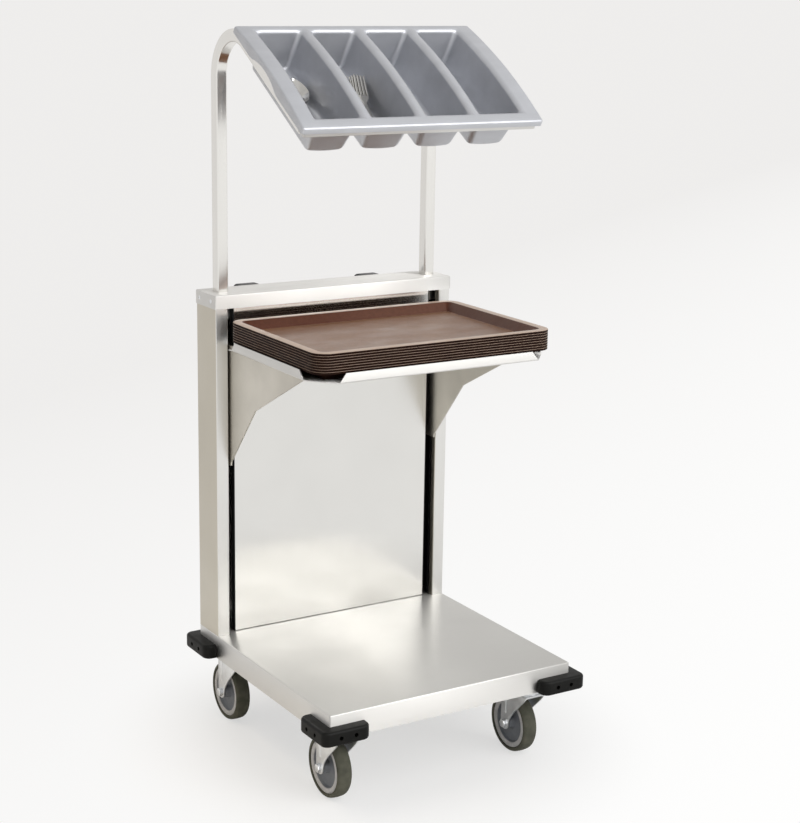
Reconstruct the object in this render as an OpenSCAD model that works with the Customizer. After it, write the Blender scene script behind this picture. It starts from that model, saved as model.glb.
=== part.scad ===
// Self-levelling tray and cutlery trolley.
// X runs across the trolley, Y from the front to the back, Z up. Lengths are millimetres.

/* [Base platform] */
// Width of the platform
base_w = 555; // [450:1:700]
// Depth of the platform
base_d = 560; // [450:1:700]
// Height of the platform's top face above the floor
base_top = 215; // [150:1:300]
// Height of the folded skirt round the platform
skirt_h = 50; // [30:1:80]
// Sheet thickness of the platform
base_sheet = 2; // [1:0.5:4]
// Corner radius of the platform seen from above
base_corner_r = 3; // [1:0.5:12]

/* [Underframe] */
// Width of the channels that carry the casters
rail_w = 96; // [70:1:120]
// Width of the channel that joins them
spine_w = 70; // [40:1:120]
// Wall of the underframe channels
rail_wall = 3; // [2:0.5:5]
// Side gap between underframe and skirt
rail_gap = 1; // [0:0.5:5]

/* [Corner bumpers] */
// Length of one bumper arm along the skirt
bumper_arm = 78; // [50:1:120]
// Distance a bumper stands out from the skirt
bumper_out = 25; // [15:1:40]
// Height of a bumper
bumper_h = 30; // [20:1:45]
// Height of a bumper's lower face above the floor
bumper_z = 163; // [120:1:200]
// Radius of the outer corner
bumper_corner_r = 15; // [5:1:24]
// Radius at the end of each arm
bumper_end_r = 17; // [5:1:24]
// Diameter of the sunk screw holes
bumper_hole_d = 8; // [5:0.5:12]
// Depth of the sunk screw holes
bumper_hole_depth = 17; // [8:1:20]
// Distance of the first hole from the platform corner
bumper_hole_near = 12; // [8:1:30]
// Distance of the second hole from the platform corner
bumper_hole_far = 44; // [30:1:60]
// Thread diameter of the bumper screws
bumper_screw_d = 4.6; // [3:0.1:6]
// Head diameter of the bumper screws
bumper_head_d = 7.4; // [5:0.1:10]
// Head height of the bumper screws
bumper_head_h = 4; // [2:0.5:6]
// Length of thread past the skirt
bumper_screw_past = 6; // [2:1:15]

/* [Casters] */
// Distance of the swivel axes inside the platform's sides
caster_side = 59.5; // [45:0.5:120]
// Distance of the swivel axes inside the platform's front and back
caster_end = 64; // [50:1:120]
// Trail of the axle behind the swivel axis
caster_trail = 38; // [20:1:60]
// Wheel diameter
wheel_d = 125; // [80:1:160]
// Tyre width
tyre_w = 32; // [20:1:45]
// Radius of the rounded tread shoulder
tread_r = 7; // [3:0.5:12]
// Outer diameter of the hub
hub_d = 106; // [60:1:130]
// Gap between hub and tyre seat
seat_gap = 0.15; // [0.05:0.05:0.4]
// Inner diameter of the hub's rim ring
hub_ring_d = 87; // [50:1:110]
// Width of the hub's rim ring
hub_ring_w = 28; // [15:1:40]
// Thickness of the hub's web
hub_web = 10; // [4:1:20]
// Diameter of the hub's centre boss
hub_boss_d = 26; // [18:1:40]
// Width of the hub's centre boss
hub_boss_w = 40; // [20:1:44]
// Diameter of the axle bolt
axle_d = 10; // [6:0.5:14]
// Running clearance on the radius of turning fits
run_gap = 0.05; // [0.01:0.01:0.1]
// Clearance on the radius of fixed bolt holes
bolt_gap = 0.2; // [0.1:0.05:0.5]
// Width over corners of the bolt head and nut
axle_hex = 18.5; // [12:0.5:26]
// Height of the bolt head and nut
axle_head_h = 6.5; // [4:0.5:10]
// Bolt end past the nut
axle_end = 4; // [1:0.5:10]
// Clear width inside the fork
fork_inside = 42; // [30:1:60]
// Sheet thickness of the fork
fork_sheet = 3; // [2:0.5:5]
// Height of the crown's lower face above the floor
crown_z = 138; // [100:1:180]
// Thickness of the crown
crown_h = 4; // [2:0.5:8]
// Diameter of the crown
crown_d = 90; // [60:1:120]
// Rounding of a leg round the axle
leg_end_r = 13; // [8:0.5:20]
// Width of the pressed rib on a leg
leg_rib_w = 9; // [4:0.5:16]
// Height of the pressed rib on a leg
leg_rib_h = 1.2; // [0.4:0.1:3]
// Length of the pressed rib as a share of the leg
leg_rib_share = 0.7; // [0.3:0.05:1]
// Diameter of the swivel head
race_d = 60; // [40:1:80]
// Height of the fork's lower swivel cup
cup_h = 8; // [4:0.5:16]
// Gap between the swivel cup and the plate's head
race_gap = 1; // [0.3:0.1:3]
// Thickness of the caster's top plate
plate_h = 4; // [2:0.5:8]
// Length of the caster's top plate
plate_l = 100; // [70:1:130]
// Width of the caster's top plate
plate_w = 84; // [60:1:110]
// Corner radius of the top plate
plate_r = 10; // [3:1:20]
// Diameter of the kingpin
kingpin_d = 12; // [8:0.5:18]
// Diameter of the kingpin's head
kingpin_head_d = 20; // [14:0.5:28]
// Height of the kingpin's head
kingpin_head_h = 6; // [3:0.5:8]
// Gap above the kingpin's head
kingpin_gap = 0.3; // [0.1:0.1:1]

/* [Column] */
// Depth of the column
col_d = 87; // [60:1:140]
// Sheet thickness of the column
col_sheet = 1.5; // [1:0.5:3]
// Height of the cap's top face above the floor
cap_top = 933; // [700:1:1100]
// Height of the cap's folded edge
cap_h = 28; // [15:1:50]
// Width of the front strip at each side
strip_w = 27.5; // [15:0.5:60]
// Depth of the strip's edge folded into the slot
strip_fold = 14; // [6:1:30]
// Width of each slot
slot_w = 19; // [10:1:40]
// Set-back of the front panel behind the strips
panel_back = 12; // [4:1:30]
// Lower gap between panel and platform
panel_gap = 1.5; // [0:0.5:6]
// Thickness of the dark edging on the panel
trim_t = 2; // [1:0.5:4]
// Depth of the dark edging on the panel
trim_d = 12; // [6:1:12]
// Head diameter of the cap screws
cap_screw_d = 8; // [5:0.5:12]
// Head height of the cap screws
cap_screw_h = 1.6; // [0.8:0.2:3]
// Thread diameter of the cap screws
cap_thread_d = 4; // [3:0.5:6]
// Depth of the cap screws' thread
cap_thread_l = 10; // [5:1:20]
// Heights of the cap screws as shares of the cap's edge
cap_screw_share = 0.5; // [0.3:0.05:0.7]
// Distance of the cap screws from the column's middle depth
cap_screw_y = 26; // [10:1:38]

/* [Lift] */
// Height of the shelf's lower face above the floor
shelf_z = 830; // [600:1:1000]
// Sheet thickness of the shelf
shelf_sheet = 2; // [1:0.5:4]
// Distance of the shelf's sides inside the platform's sides
shelf_side = 7.5; // [3:0.5:40]
// Distance of the shelf's front edge behind the platform's front
shelf_in = 68; // [30:1:120]
// Gap between the shelf and the column
shelf_gap = 43; // [10:1:80]
// Width of the cut-off front corners
shelf_cut_x = 46; // [20:1:80]
// Depth of the cut-off front corners
shelf_cut_y = 54; // [20:1:80]
// Height of the lips above the shelf's lower face
lip_h = 19; // [8:1:40]
// Slant at the lips' ends
lip_slant = 15; // [4:1:30]
// Distance of the side lips' rear ends from the shelf's rear edge
lip_in = 11; // [2:1:40]
// Distance of the gusset plates inside the strips' edges
gusset_side = 5; // [3:0.5:9]
// Thickness of the gusset plates
gusset_t = 3; // [2:0.5:5]
// Distance of a gusset's front end behind the shelf's front edge
gusset_start = 78; // [20:1:140]
// Distance of the gusset's kink in front of the column
kink_out = 111; // [60:1:150]
// Depth of the kink below the shelf
kink_drop = 112; // [50:1:180]
// Distance of the gusset's lower tip in front of the column
tip_out = 3; // [0:1:40]
// Depth of the lower tip below the shelf
tip_drop = 242; // [120:1:300]
// Further depth of the gusset inside the column
root_drop = 250; // [120:1:320]
// Distance of the gusset's rear edge inside the column's back
root_in = 22; // [15:1:60]
// Height of the carriage plate
carriage_h = 220; // [100:1:300]
// Distance of the carriage plate inside the column's back
carriage_in = 28; // [18:1:50]
// Thickness of the carriage plate
carriage_t = 3; // [2:0.5:5]
// Depth of the carriage's side flanges
carriage_flange = 26; // [15:1:40]
// Depth of the carriage's spring ledge
ledge_d = 32; // [20:1:40]
// Diameter of the springs
spring_d = 22; // [12:1:26]
// Distance of the springs from the middle plane
spring_x = 130; // [60:1:200]
// Height of the spring beam's lower face above the floor
beam_z = 880; // [820:1:895]
// Height of the spring beam
beam_h = 24; // [12:1:40]
// Depth of the spring beam
beam_d = 44; // [30:1:60]
// Wall of the spring beam
beam_wall = 3; // [2:0.5:5]
// Depth of the guide channels
guide_d = 48; // [30:1:60]
// Wall of the guide channels
guide_wall = 3; // [2:0.5:5]
// Width of the guide channels
guide_w = 24; // [15:1:28]
// Height of a sliding shoe
shoe_h = 40; // [20:1:80]
// Gap between shoe and guide
shoe_gap = 0.4; // [0.2:0.1:1]
// Distance between the shoes of one side
shoe_pitch = 185; // [80:1:230]

/* [Trays] */
// Distance of the trays' sides inside the shelf's sides
tray_side = 5; // [3:0.5:30]
// Distance of the trays' front edge behind the shelf's front edge
tray_in = 7; // [3:1:40]
// Gap between the trays and the column
tray_gap = 28; // [5:1:60]
// Height of a tray
tray_h = 20; // [12:1:30]
// Height added by each further tray
tray_pitch = 5; // [3:0.5:10]
// Thickness of a tray
tray_t = 2.4; // [1.5:0.1:4]
// Outer corner radius of a tray
tray_r = 32; // [32:1:60]
// Width of the tray's flat rim
tray_rim = 19; // [8:1:30]
// Thickness of the rim's turned-down edge
tray_edge = 2.4; // [1:0.1:4]
// Horizontal run of the sloping side
tray_run = 12.5; // [6:0.5:20]
// Offset between the inner and the outer slope
tray_skew = 1.5; // [0.5:0.1:3]

/* [Posts] */
// Width of the square tube
tube_w = 25; // [15:1:40]
// Wall of the square tube
tube_wall = 1.5; // [1:0.5:3]
// Outer corner radius of the square tube
tube_r = 4; // [1:0.5:8]
// Distance of the posts inside the platform's sides
post_side = 32.5; // [20:0.5:60]
// Radius of the bend's centre line
bend_r = 83; // [40:1:160]
// Clearance of the tube in the cap's hole
post_gap = 0.3; // [0.1:0.1:1]

/* [Cutlery bin] */
// Distance of the rim's sides inside the platform's sides
bin_side = 12.5; // [0:0.5:15]
// Length of the bin's rim along the slope
bin_l = 325; // [250:1:400]
// Slope of the bin
bin_tilt = 32; // [0:0.5:50]
// Height of the rim's back edge above the floor
bin_back_z = 1460; // [1200:1:1700]
// Distance of the rim's back edge in front of the column's back
bin_back_in = 150.5; // [100:0.5:200]
// Rise of the domed rim over its length
dome_rise = 11.5; // [2:0.5:30]
// Depth of the rim's skirt
bin_skirt = 12; // [6:0.5:25]
// Wall of the bin
bin_wall = 3; // [2:0.5:5]
// Corner radius of the rim
bin_corner_r = 6; // [3:0.5:6]
// Side clearance of the notches for the posts
notch_gap = 1; // [0.5:0.1:1.5]
// Width of the rim outside the outer pockets
pocket_side = 37.5; // [37:0.5:60]
// Width of the rim between two pockets
pocket_gap = 21; // [10:1:40]
// Lean of a pocket's side walls over its depth
pocket_taper = 11; // [4:0.5:20]
// Depth of a pocket below the rim line
pocket_depth = 80; // [50:1:120]
// Distance of the pocket's back edge from the rim's back edge
pocket_back = 20; // [12:1:40]
// Distance of the pocket's front edge from the rim's back edge
pocket_front = 296; // [250:1:310]
// Lean of the pocket's back wall
pocket_back_lean = 8; // [0:1:40]
// Lean of the pocket's front wall
pocket_front_lean = 12; // [0:1:40]
// Sag of the pocket's rounded floor
floor_sag = 3; // [1:0.5:10]
// Middle of the hand arch along the slope
arch_s = 148; // [100:1:200]
// Chord of the hand arch
arch_w = 116; // [60:1:160]
// Rise of the hand arch above the skirt's edge
arch_rise = 13; // [5:0.5:18]

/* [Cutlery frame] */
// Depth of the tubes' middle below the rim line
tube_sink = 16; // [12:0.5:30]
// Front face of the front bar along the slope
front_bar_s = 318; // [300:0.5:321]
// Width of the front bar
front_bar_w = 17; // [8:0.5:20]
// Distance of the front bar's ends inside the rim's sides
front_bar_in = 9; // [4:0.5:40]
// Upper face of both bars below the rim line
bar_top = 3; // [2:0.5:8]
// Height of the bars
bar_h = 22; // [10:0.5:30]
// Front face of the back bar along the slope
back_bar_s = 15; // [10:0.5:16]
// Width of the back bar
back_bar_w = 11; // [6:0.5:12]

/* [Cutlery] */
// Length of the spoons
spoon_l = 187; // [150:1:195]
// Length of the forks
fork_l = 168; // [150:1:195]
// Thickness of the spoons and the forks
cutlery_t = 2; // [1:0.5:4]
// Gap between pieces piled on each other
pile_gap = 0.3; // [0.1:0.1:1]
// Width of a handle at its end
handle_end_w = 19; // [8:1:24]
// Width of a handle at its neck
handle_neck_w = 7; // [4:0.5:12]
// Length of a spoon's bowl
bowl_l = 72; // [40:1:80]
// Width of a spoon's bowl as a share of the pocket's floor
bowl_share = 0.566; // [0.3:0.001:0.6]
// Radius of a spoon's bowl
bowl_r = 70; // [45:1:90]
// Length of a fork's head
fork_head_l = 75; // [50:1:90]
// Upward bend of a fork's head
fork_bend = 12; // [0:0.5:15]
// Height added by each further fork
fork_step = 2.6; // [2.5:0.1:4]
// Width of a fork's head as a share of the pocket's floor
fork_share = 0.33; // [0.25:0.001:0.4]
// Length of a fork's tines
tine_l = 50; // [25:1:60]
// Gap between a fork's tines
tine_gap = 3.2; // [2:0.1:5]
// Distance of the handles' lower ends from the rim's back edge
cutlery_s = 272; // [200:1:273]
// Height of the spoon handles' lower ends above the floor's lowest line
spoon_lift = 1.6; // [0:0.1:20]
// Height of the forks above the floor's lowest line
fork_lift = 1.2; // [0:0.1:20]
// Side distance of the spoon handles' ends from the pocket's middle as a share of its floor
spoon_side_share = 0.026; // [0:0.001:0.1]
// Side distance of the fork handles' ends from the pocket's middle as a share of its floor
fork_side_share = 0.105; // [0:0.001:0.12]
// Side run of the spoons up to their bowls as a share of the pocket's floor
spoon_across = 0.19; // [0:0.01:0.2]
// Side run of the forks up to their heads as a share of the pocket's floor
fork_across = 0.37; // [0:0.01:0.38]

/* [Push handle] */
// Distance of the handle brackets from the middle plane
bracket_x = 145; // [80:1:220]
// Width of a handle bracket
bracket_w = 45; // [20:1:60]
// Rounding of a bracket round the bar
bracket_r = 20; // [14:1:30]
// Foot height of a bracket
bracket_foot = 40; // [25:1:60]
// Distance of the bar's axis behind the cap
bar_out = 40; // [28:1:70]
// Height of the bar's axis below the cap's top face
bar_drop = 24; // [14:1:60]
// Diameter of the bar
bar_d = 22; // [16:1:36]
// Depth of the bar inside a bracket
bar_seat = 30; // [10:1:40]
// Clearance of the bar in its bracket
bar_gap = 0.2; // [0.1:0.1:0.5]

/* [Hidden] */
$fn = 64;
// Points of a fork leg's front edge as shares of the way from crown to axle
leg_edge_shares = [[0, 0.08], [0.22, 0.22], [0.52, 0.42], [0.8, 0.66], [0.96, 0.86]];
// Outline of a spoon's bowl as shares of its length and half width
bowl_shares = [[0, 0.16], [0.1, 0.5], [0.25, 0.83], [0.45, 1], [0.65, 0.93], [0.85, 0.66], [0.96, 0.32]];
// Outline of a fork's head as shares of its length and half width
fork_shares = [[0, 0.28], [0.1, 0.6], [0.2, 0.9], [0.32, 1], [1, 0.94]];
// Side runs of the piled spoons about their bowls and of the forks about their ends, as shares of
// the pocket's floor
spoon_spread = [0, -0.075, 0.113, -0.038];
fork_spread = [0.16, 0.24, 0.12, 0.2, 0.06, 0.26, 0.14, 0.22, 0.04, 0];
// Number of pockets
pocket_count = 4;
// Points of a pocket's floor line as shares of its half width
floor_shares = [1, 0.75, 0.5, 0.25, 0, -0.25, -0.5, -0.75, -1];
// Step in degrees of the rim's rounded corners
corner_step = 15;
// Number of sides of a hexagon
hex_sides = 6;
// Number of sides that stands for a true circle of large radius
wide_sides = 720;
// Overrun of every cut
cut = 1;
// Outer faces
half_w = base_w / 2;
half_d = base_d / 2;
skirt_z = base_top - skirt_h;
col_front = half_d - col_d;
col_mid_y = half_d - col_d / 2;
cap_under = cap_top - col_sheet;
cap_low = cap_top - cap_h;
slot_out = half_w - strip_w;
slot_in = slot_out - slot_w;
panel_y = col_front + panel_back;
inner_w = half_w - col_sheet;
// Casters
caster_x = half_w - caster_side;
caster_y = half_d - caster_end;
fork_out = fork_inside / 2 + fork_sheet;
axle_z = wheel_d / 2;
crown_top = crown_z + crown_h;
head_z = crown_top + cup_h + race_gap;
plate_z = skirt_z - plate_h;
leg_low_y = caster_trail - leg_end_r;
leg_rear_y = caster_trail + leg_end_r;
crown_edge_y = sqrt(pow(crown_d / 2, 2) - pow(fork_out, 2));
// Lift
shelf_w = base_w - 2 * shelf_side;
shelf_front = half_d - shelf_in;
shelf_rear = col_front - shelf_gap;
lip_rear = shelf_rear - lip_in;
gusset_x = slot_out - gusset_side;
gusset_front = shelf_front - gusset_start;
kink_y = col_front - kink_out;
tip_y = col_front - tip_out;
root_y = half_d - root_in;
carriage_y = half_d - carriage_in;
shelf_top = shelf_z + shelf_sheet;
tip_z = shelf_z - tip_drop;
root_z = shelf_z - root_drop;
gusset_in = gusset_x - gusset_t / 2;
gusset_out = gusset_x + gusset_t / 2;
carriage_z = shelf_z - root_drop + carriage_t;
spring_y = carriage_y - ledge_d / 2;
spring_low = carriage_z + carriage_t;
guide_y = col_mid_y + guide_wall;
guide_low = base_top;
shoe_out = inner_w - guide_wall - shoe_gap;
shoe_d = guide_d - 2 * guide_wall - 2 * shoe_gap;
// Posts
bin_w = base_w - 2 * bin_side;
bin_back_y = half_d - bin_back_in;
post_x = half_w - post_side;
post_y = col_mid_y;
post_low = beam_z + beam_h;
bend_a = 90 + bin_tilt;
meet_s = (bin_back_y + tube_sink * sin(bin_tilt) - post_y) / cos(bin_tilt);
meet_z = bin_back_z - meet_s * sin(bin_tilt) - tube_sink * cos(bin_tilt);
bend_t = bend_r * tan(bend_a / 2);
bend_z = meet_z - bend_t;
slope_s = meet_s + bend_t;
bar_s = front_bar_s - front_bar_w;
front_bar_l = bin_w - 2 * front_bar_in;
// Bin
dome_r = (pow(bin_l / 2, 2) + pow(dome_rise, 2)) / (2 * dome_rise);
dome_z = dome_rise - dome_r;
arch_r = (pow(arch_w / 2, 2) + pow(arch_rise, 2)) / (2 * arch_rise);
pocket_w = (bin_w - 2 * pocket_side - (pocket_count - 1) * pocket_gap) / pocket_count;
pocket_pitch = pocket_w + pocket_gap;
pocket_floor_w = pocket_w - 2 * pocket_taper;
pocket_x0 = -(pocket_count - 1) * pocket_pitch / 2;
// Trays
tray_w = shelf_w - 2 * tray_side;
tray_rear_y = col_front - tray_gap;
tray_front_y = -shelf_front + tray_in;
tray_d = tray_rear_y - tray_front_y;
tray_y = (tray_rear_y + tray_front_y) / 2;
tray_run0 = tray_r - tray_rim - tray_run;
// Cutlery
bowl_w = bowl_share * pocket_floor_w;
fork_w = fork_share * pocket_floor_w;
spoon_side = spoon_side_share * pocket_floor_w;
fork_side = fork_side_share * pocket_floor_w;
spoon_mid = spoon_l - bowl_l / 2;
fork_mid = fork_l - fork_head_l / 2;
fork_neck = fork_l - fork_head_l;
spoon_turn = asin(spoon_across * pocket_floor_w / spoon_mid);
fork_turn = asin(fork_across * pocket_floor_w / fork_mid);
bowl_deep = bowl_r - sqrt(pow(bowl_r, 2) - pow(bowl_l / 2, 2));
spoon_lean = asin(bowl_deep / spoon_mid);
spoon_step = cutlery_t + pile_gap;
// Handle
bar_y = half_d + col_sheet + bar_out;
bar_z = cap_top - bar_drop;
bar_l = 2 * (bracket_x - bracket_w / 2 + bar_seat);
// Shift that brings the middle of the overall depth to the origin
rear_reach = bar_y + bracket_r;
front_reach = half_d + bumper_out;
shift_y = (front_reach - rear_reach) / 2;

// Colours
steel = [0.80, 0.79, 0.75];
bright = [0.90, 0.90, 0.88];
zinc = [0.72, 0.74, 0.76];
black = [0.07, 0.07, 0.07];
rubber = [0.22, 0.22, 0.19];
hubgrey = [0.66, 0.66, 0.67];
bingrey = [0.55, 0.56, 0.59];
brown = [0.33, 0.22, 0.17];

// Rounded rectangle about the origin
module rounded_rect(w, d, r) {
    square([w - 2 * r, d], center = true);
    square([w, d - 2 * r], center = true);
    for (sx = [-1, 1]) for (sy = [-1, 1])
        translate([sx * (w / 2 - r), sy * (d / 2 - r)]) circle(r = r);
}

// Outline in Y and Z drawn out along X
module along_x(l) {
    rotate([90, 0, 90]) linear_extrude(height = l, center = true) children();
}

// Outline in X and Z drawn out along Y
module along_y(l) {
    rotate([90, 0, 0]) linear_extrude(height = l, center = true) children();
}

// Box from its lower corner to its upper corner
module block(a, b) {
    translate(a) cube(b - a);
}

// Origin at the middle of the overall depth
module placed() {
    translate([0, shift_y, 0]) children();
}

// Sloping frame of the bin: X across, minus Y down the slope, Z off the rim line
module on_slope() {
    translate([0, bin_back_y, bin_back_z]) rotate([bin_tilt, 0, 0]) children();
}

// Folded platform with its skirt
module base_platform() {
    color(steel) difference() {
        translate([0, 0, skirt_z]) linear_extrude(height = skirt_h)
            rounded_rect(base_w, base_d, base_corner_r);
        block([-half_w + base_sheet, -half_d + base_sheet, skirt_z - cut],
              [half_w - base_sheet, half_d - base_sheet, base_top - base_sheet]);
        bumper_axes() cylinder(r = bumper_screw_d / 2 + bolt_gap, h = 2 * bumper_out, center = true);
    }
}

// One open channel of the underframe
module channel(w, l, wall) {
    difference() {
        translate([-w / 2, -l / 2, skirt_z]) cube([w, l, skirt_h - base_sheet]);
        translate([-w / 2 + wall, -l / 2 - cut, skirt_z + wall])
            cube([w - 2 * wall, l + 2 * cut, skirt_h]);
    }
}

// Channels under the platform
module underframe() {
    rail_l = base_w - 2 * base_sheet - 2 * rail_gap;
    color(steel) {
        for (s = [-1, 1])
            translate([0, s * caster_y, 0]) rotate([0, 0, 90]) channel(rail_w, rail_l, rail_wall);
        channel(spine_w, 2 * caster_y - rail_w, rail_wall);
    }
}

// Axes of the bumper screws, outwards along Z
module bumper_axes() {
    for (sx = [-1, 1]) for (sy = [-1, 1]) for (p = [bumper_hole_near, bumper_hole_far]) {
        translate([sx * (half_w - p), sy * half_d, bumper_z + bumper_h / 2])
            rotate([-sy * 90, 0, 0]) children();
        translate([sx * half_w, sy * (half_d - p), bumper_z + bumper_h / 2])
            rotate([0, sx * 90, 0]) children();
    }
}

// Outline of one arm from the platform corner outwards
module bumper_arm() {
    translate([0, -bumper_out]) square([bumper_arm - bumper_end_r, bumper_out]);
    translate([0, -bumper_out + bumper_end_r]) square([bumper_arm, bumper_out - bumper_end_r]);
    intersection() {
        translate([bumper_arm - bumper_end_r, -bumper_out + bumper_end_r]) circle(r = bumper_end_r);
        translate([0, -bumper_out]) square([bumper_arm, bumper_out]);
    }
}

// Outline of the bumper about the platform corner
module bumper_outline() {
    bumper_arm();
    mirror([1, -1]) bumper_arm();
    translate([-bumper_out + bumper_corner_r, -bumper_out])
        square([bumper_out - bumper_corner_r, bumper_out]);
    translate([-bumper_out, -bumper_out + bumper_corner_r])
        square([bumper_out, bumper_out - bumper_corner_r]);
    translate([-bumper_out + bumper_corner_r, -bumper_out + bumper_corner_r])
        circle(r = bumper_corner_r);
}

// Angled bumper at one corner, sx and sy pick the corner
module bumper(sx, sy) {
    color(black) difference() {
        translate([sx * half_w, sy * half_d, bumper_z]) mirror([sx > 0 ? 1 : 0, 0, 0])
            mirror([0, sy > 0 ? 1 : 0, 0]) linear_extrude(height = bumper_h) bumper_outline();
        bumper_axes() {
            translate([0, 0, bumper_out - bumper_hole_depth])
                cylinder(r = bumper_hole_d / 2, h = bumper_hole_depth + cut);
            cylinder(r = bumper_screw_d / 2 + bolt_gap, h = bumper_out);
        }
    }
}

// Screws sunk in the bumpers
module bumper_screws() {
    color(black) bumper_axes() {
        translate([0, 0, bumper_out - bumper_hole_depth])
            cylinder(r = bumper_head_d / 2, h = bumper_head_h);
        translate([0, 0, -base_sheet - bumper_screw_past])
            cylinder(r = bumper_screw_d / 2, h = base_sheet + bumper_screw_past
                     + bumper_out - bumper_hole_depth);
    }
}

// Place of one caster, sx and sy pick the corner
module at_caster(sx, sy) {
    translate([sx * caster_x, sy * caster_y, 0]) children();
}

// Place of one axle
module at_axle(sx, sy) {
    at_caster(sx, sy) translate([0, caster_trail, axle_z]) rotate([0, 90, 0]) children();
}

// Fixed top plate with swivel head and kingpin
module caster_plate(sx, sy) {
    color(zinc) at_caster(sx, sy) {
        translate([0, 0, plate_z]) linear_extrude(height = plate_h)
            rounded_rect(plate_w, plate_l, plate_r);
        translate([0, 0, head_z]) cylinder(r = race_d / 2, h = plate_z - head_z);
        translate([0, 0, crown_z - kingpin_gap]) cylinder(r = kingpin_d / 2, h = plate_z - crown_z);
        translate([0, 0, crown_z - kingpin_gap - kingpin_head_h])
            cylinder(r = kingpin_head_d / 2, h = kingpin_head_h);
    }
}

// Side outline of one fork leg
module leg_outline() {
    front = -crown_edge_y;
    drop = crown_top - axle_z;
    edge = [for (p = leg_edge_shares) [front + p[0] * (leg_low_y - front), crown_top - p[1] * drop]];
    difference() {
        union() {
            polygon(concat([[leg_rear_y, crown_top], [front, crown_top]], edge,
                [[leg_low_y, axle_z], [leg_rear_y, axle_z]]));
            translate([caster_trail, axle_z]) circle(r = leg_end_r);
        }
        translate([caster_trail, axle_z]) circle(r = axle_d / 2 + bolt_gap);
    }
}

// Swivelling fork with its crown and cup
module caster_fork(sx, sy) {
    rib_h = leg_rib_share * (crown_z - axle_z);
    leg_x = (fork_inside + fork_sheet) / 2;
    bore_h = crown_h + cup_h + 2 * cut;
    color(zinc) at_caster(sx, sy) difference() {
        union() {
            for (s = [-1, 1]) {
                translate([s * leg_x, 0, 0]) along_x(fork_sheet) leg_outline();
                translate([s * fork_out - leg_rib_h, caster_trail - leg_rib_w / 2, crown_z - rib_h])
                    cube([2 * leg_rib_h, leg_rib_w, rib_h]);
            }
            intersection() {
                translate([0, 0, crown_z]) cylinder(r = crown_d / 2, h = crown_h);
                block([-fork_out, -crown_d, crown_z], [fork_out, 0, crown_top]);
            }
            block([-fork_out, 0, crown_z], [fork_out, leg_rear_y, crown_top]);
            translate([0, 0, crown_z]) cylinder(r = race_d / 2, h = crown_h + cup_h);
        }
        translate([0, 0, crown_z - cut]) cylinder(r = kingpin_d / 2 + run_gap, h = bore_h);
    }
}

// Axle bolt with head and nut
module caster_axle(sx, sy) {
    color(zinc) at_axle(sx, sy) {
        translate([0, 0, -fork_out])
            cylinder(r = axle_d / 2, h = 2 * fork_out + axle_head_h + axle_end);
        translate([0, 0, -fork_out - axle_head_h])
            cylinder(r = axle_hex / 2, h = axle_head_h, $fn = hex_sides);
        translate([0, 0, fork_out]) cylinder(r = axle_hex / 2, h = axle_head_h, $fn = hex_sides);
    }
}

// Wheel hub with rim ring, web and boss
module wheel_hub(sx, sy) {
    bore = axle_d / 2 + run_gap;
    boss = hub_boss_d / 2;
    ring = hub_ring_d / 2;
    rim = hub_d / 2;
    color(hubgrey) at_axle(sx, sy) rotate_extrude() polygon([
        [bore, -hub_boss_w / 2], [boss, -hub_boss_w / 2], [boss, -hub_web / 2],
        [ring, -hub_web / 2], [ring, -hub_ring_w / 2], [rim, -hub_ring_w / 2],
        [rim, hub_ring_w / 2], [ring, hub_ring_w / 2], [ring, hub_web / 2],
        [boss, hub_web / 2], [boss, hub_boss_w / 2], [bore, hub_boss_w / 2]]);
}

// Rubber tyre with rounded shoulders
module wheel_tyre(sx, sy) {
    seat = hub_d / 2 + seat_gap;
    out = wheel_d / 2;
    color(rubber) at_axle(sx, sy) rotate_extrude() intersection() {
        translate([seat, -tyre_w / 2]) square([out - seat, tyre_w]);
        union() {
            translate([0, -tyre_w / 2]) square([out - tread_r, tyre_w]);
            translate([0, -tyre_w / 2 + tread_r]) square([out, tyre_w - 2 * tread_r]);
            for (s = [-1, 1]) translate([out - tread_r, s * (tyre_w / 2 - tread_r)]) circle(r = tread_r);
        }
    }
}

// Outline of the left column channel seen from above
module column_outline() {
    translate([-half_w, col_front]) square([col_sheet, col_d]);
    translate([-half_w, col_front]) square([strip_w, col_sheet]);
    translate([-slot_out - col_sheet, col_front]) square([col_sheet, strip_fold]);
    translate([-half_w, half_d - col_sheet]) square([strip_w, col_sheet]);
}

// Folded channel at one side of the column
module column_channel() {
    color(steel) difference() {
        translate([0, 0, base_top]) linear_extrude(height = cap_under - base_top) column_outline();
        cap_screw_axes() cylinder(r = cap_thread_d / 2 + bolt_gap, h = 2 * cap_thread_l, center = true);
    }
}

module column_left() {
    column_channel();
}

module column_right() {
    mirror([1, 0, 0]) column_channel();
}

// Bright panel between the slots
module front_panel() {
    color(bright) block([-slot_in, panel_y, base_top + panel_gap],
                        [slot_in, panel_y + col_sheet, cap_under]);
}

// Dark edging at both sides of the panel
module slot_trims() {
    low = base_top + panel_gap;
    color(black) for (s = [-1, 1])
        translate([s * (slot_in + trim_t / 2), panel_y + trim_d / 2, low])
            linear_extrude(height = cap_under - low) square([trim_t, trim_d], center = true);
}

// Sheet that closes the column's back
module rear_cover() {
    color(steel) block([-inner_w, half_d - 2 * col_sheet, base_top],
                       [inner_w, half_d - col_sheet, cap_under]);
}

// Axes of the cap screws, outwards along Z
module cap_screw_axes() {
    level = cap_low + cap_screw_share * cap_h;
    for (sx = [-1, 1]) for (sy = [-1, 1])
        translate([sx * (half_w + col_sheet), col_mid_y + sy * cap_screw_y, level])
            rotate([0, sx * 90, 0]) children();
}

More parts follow.
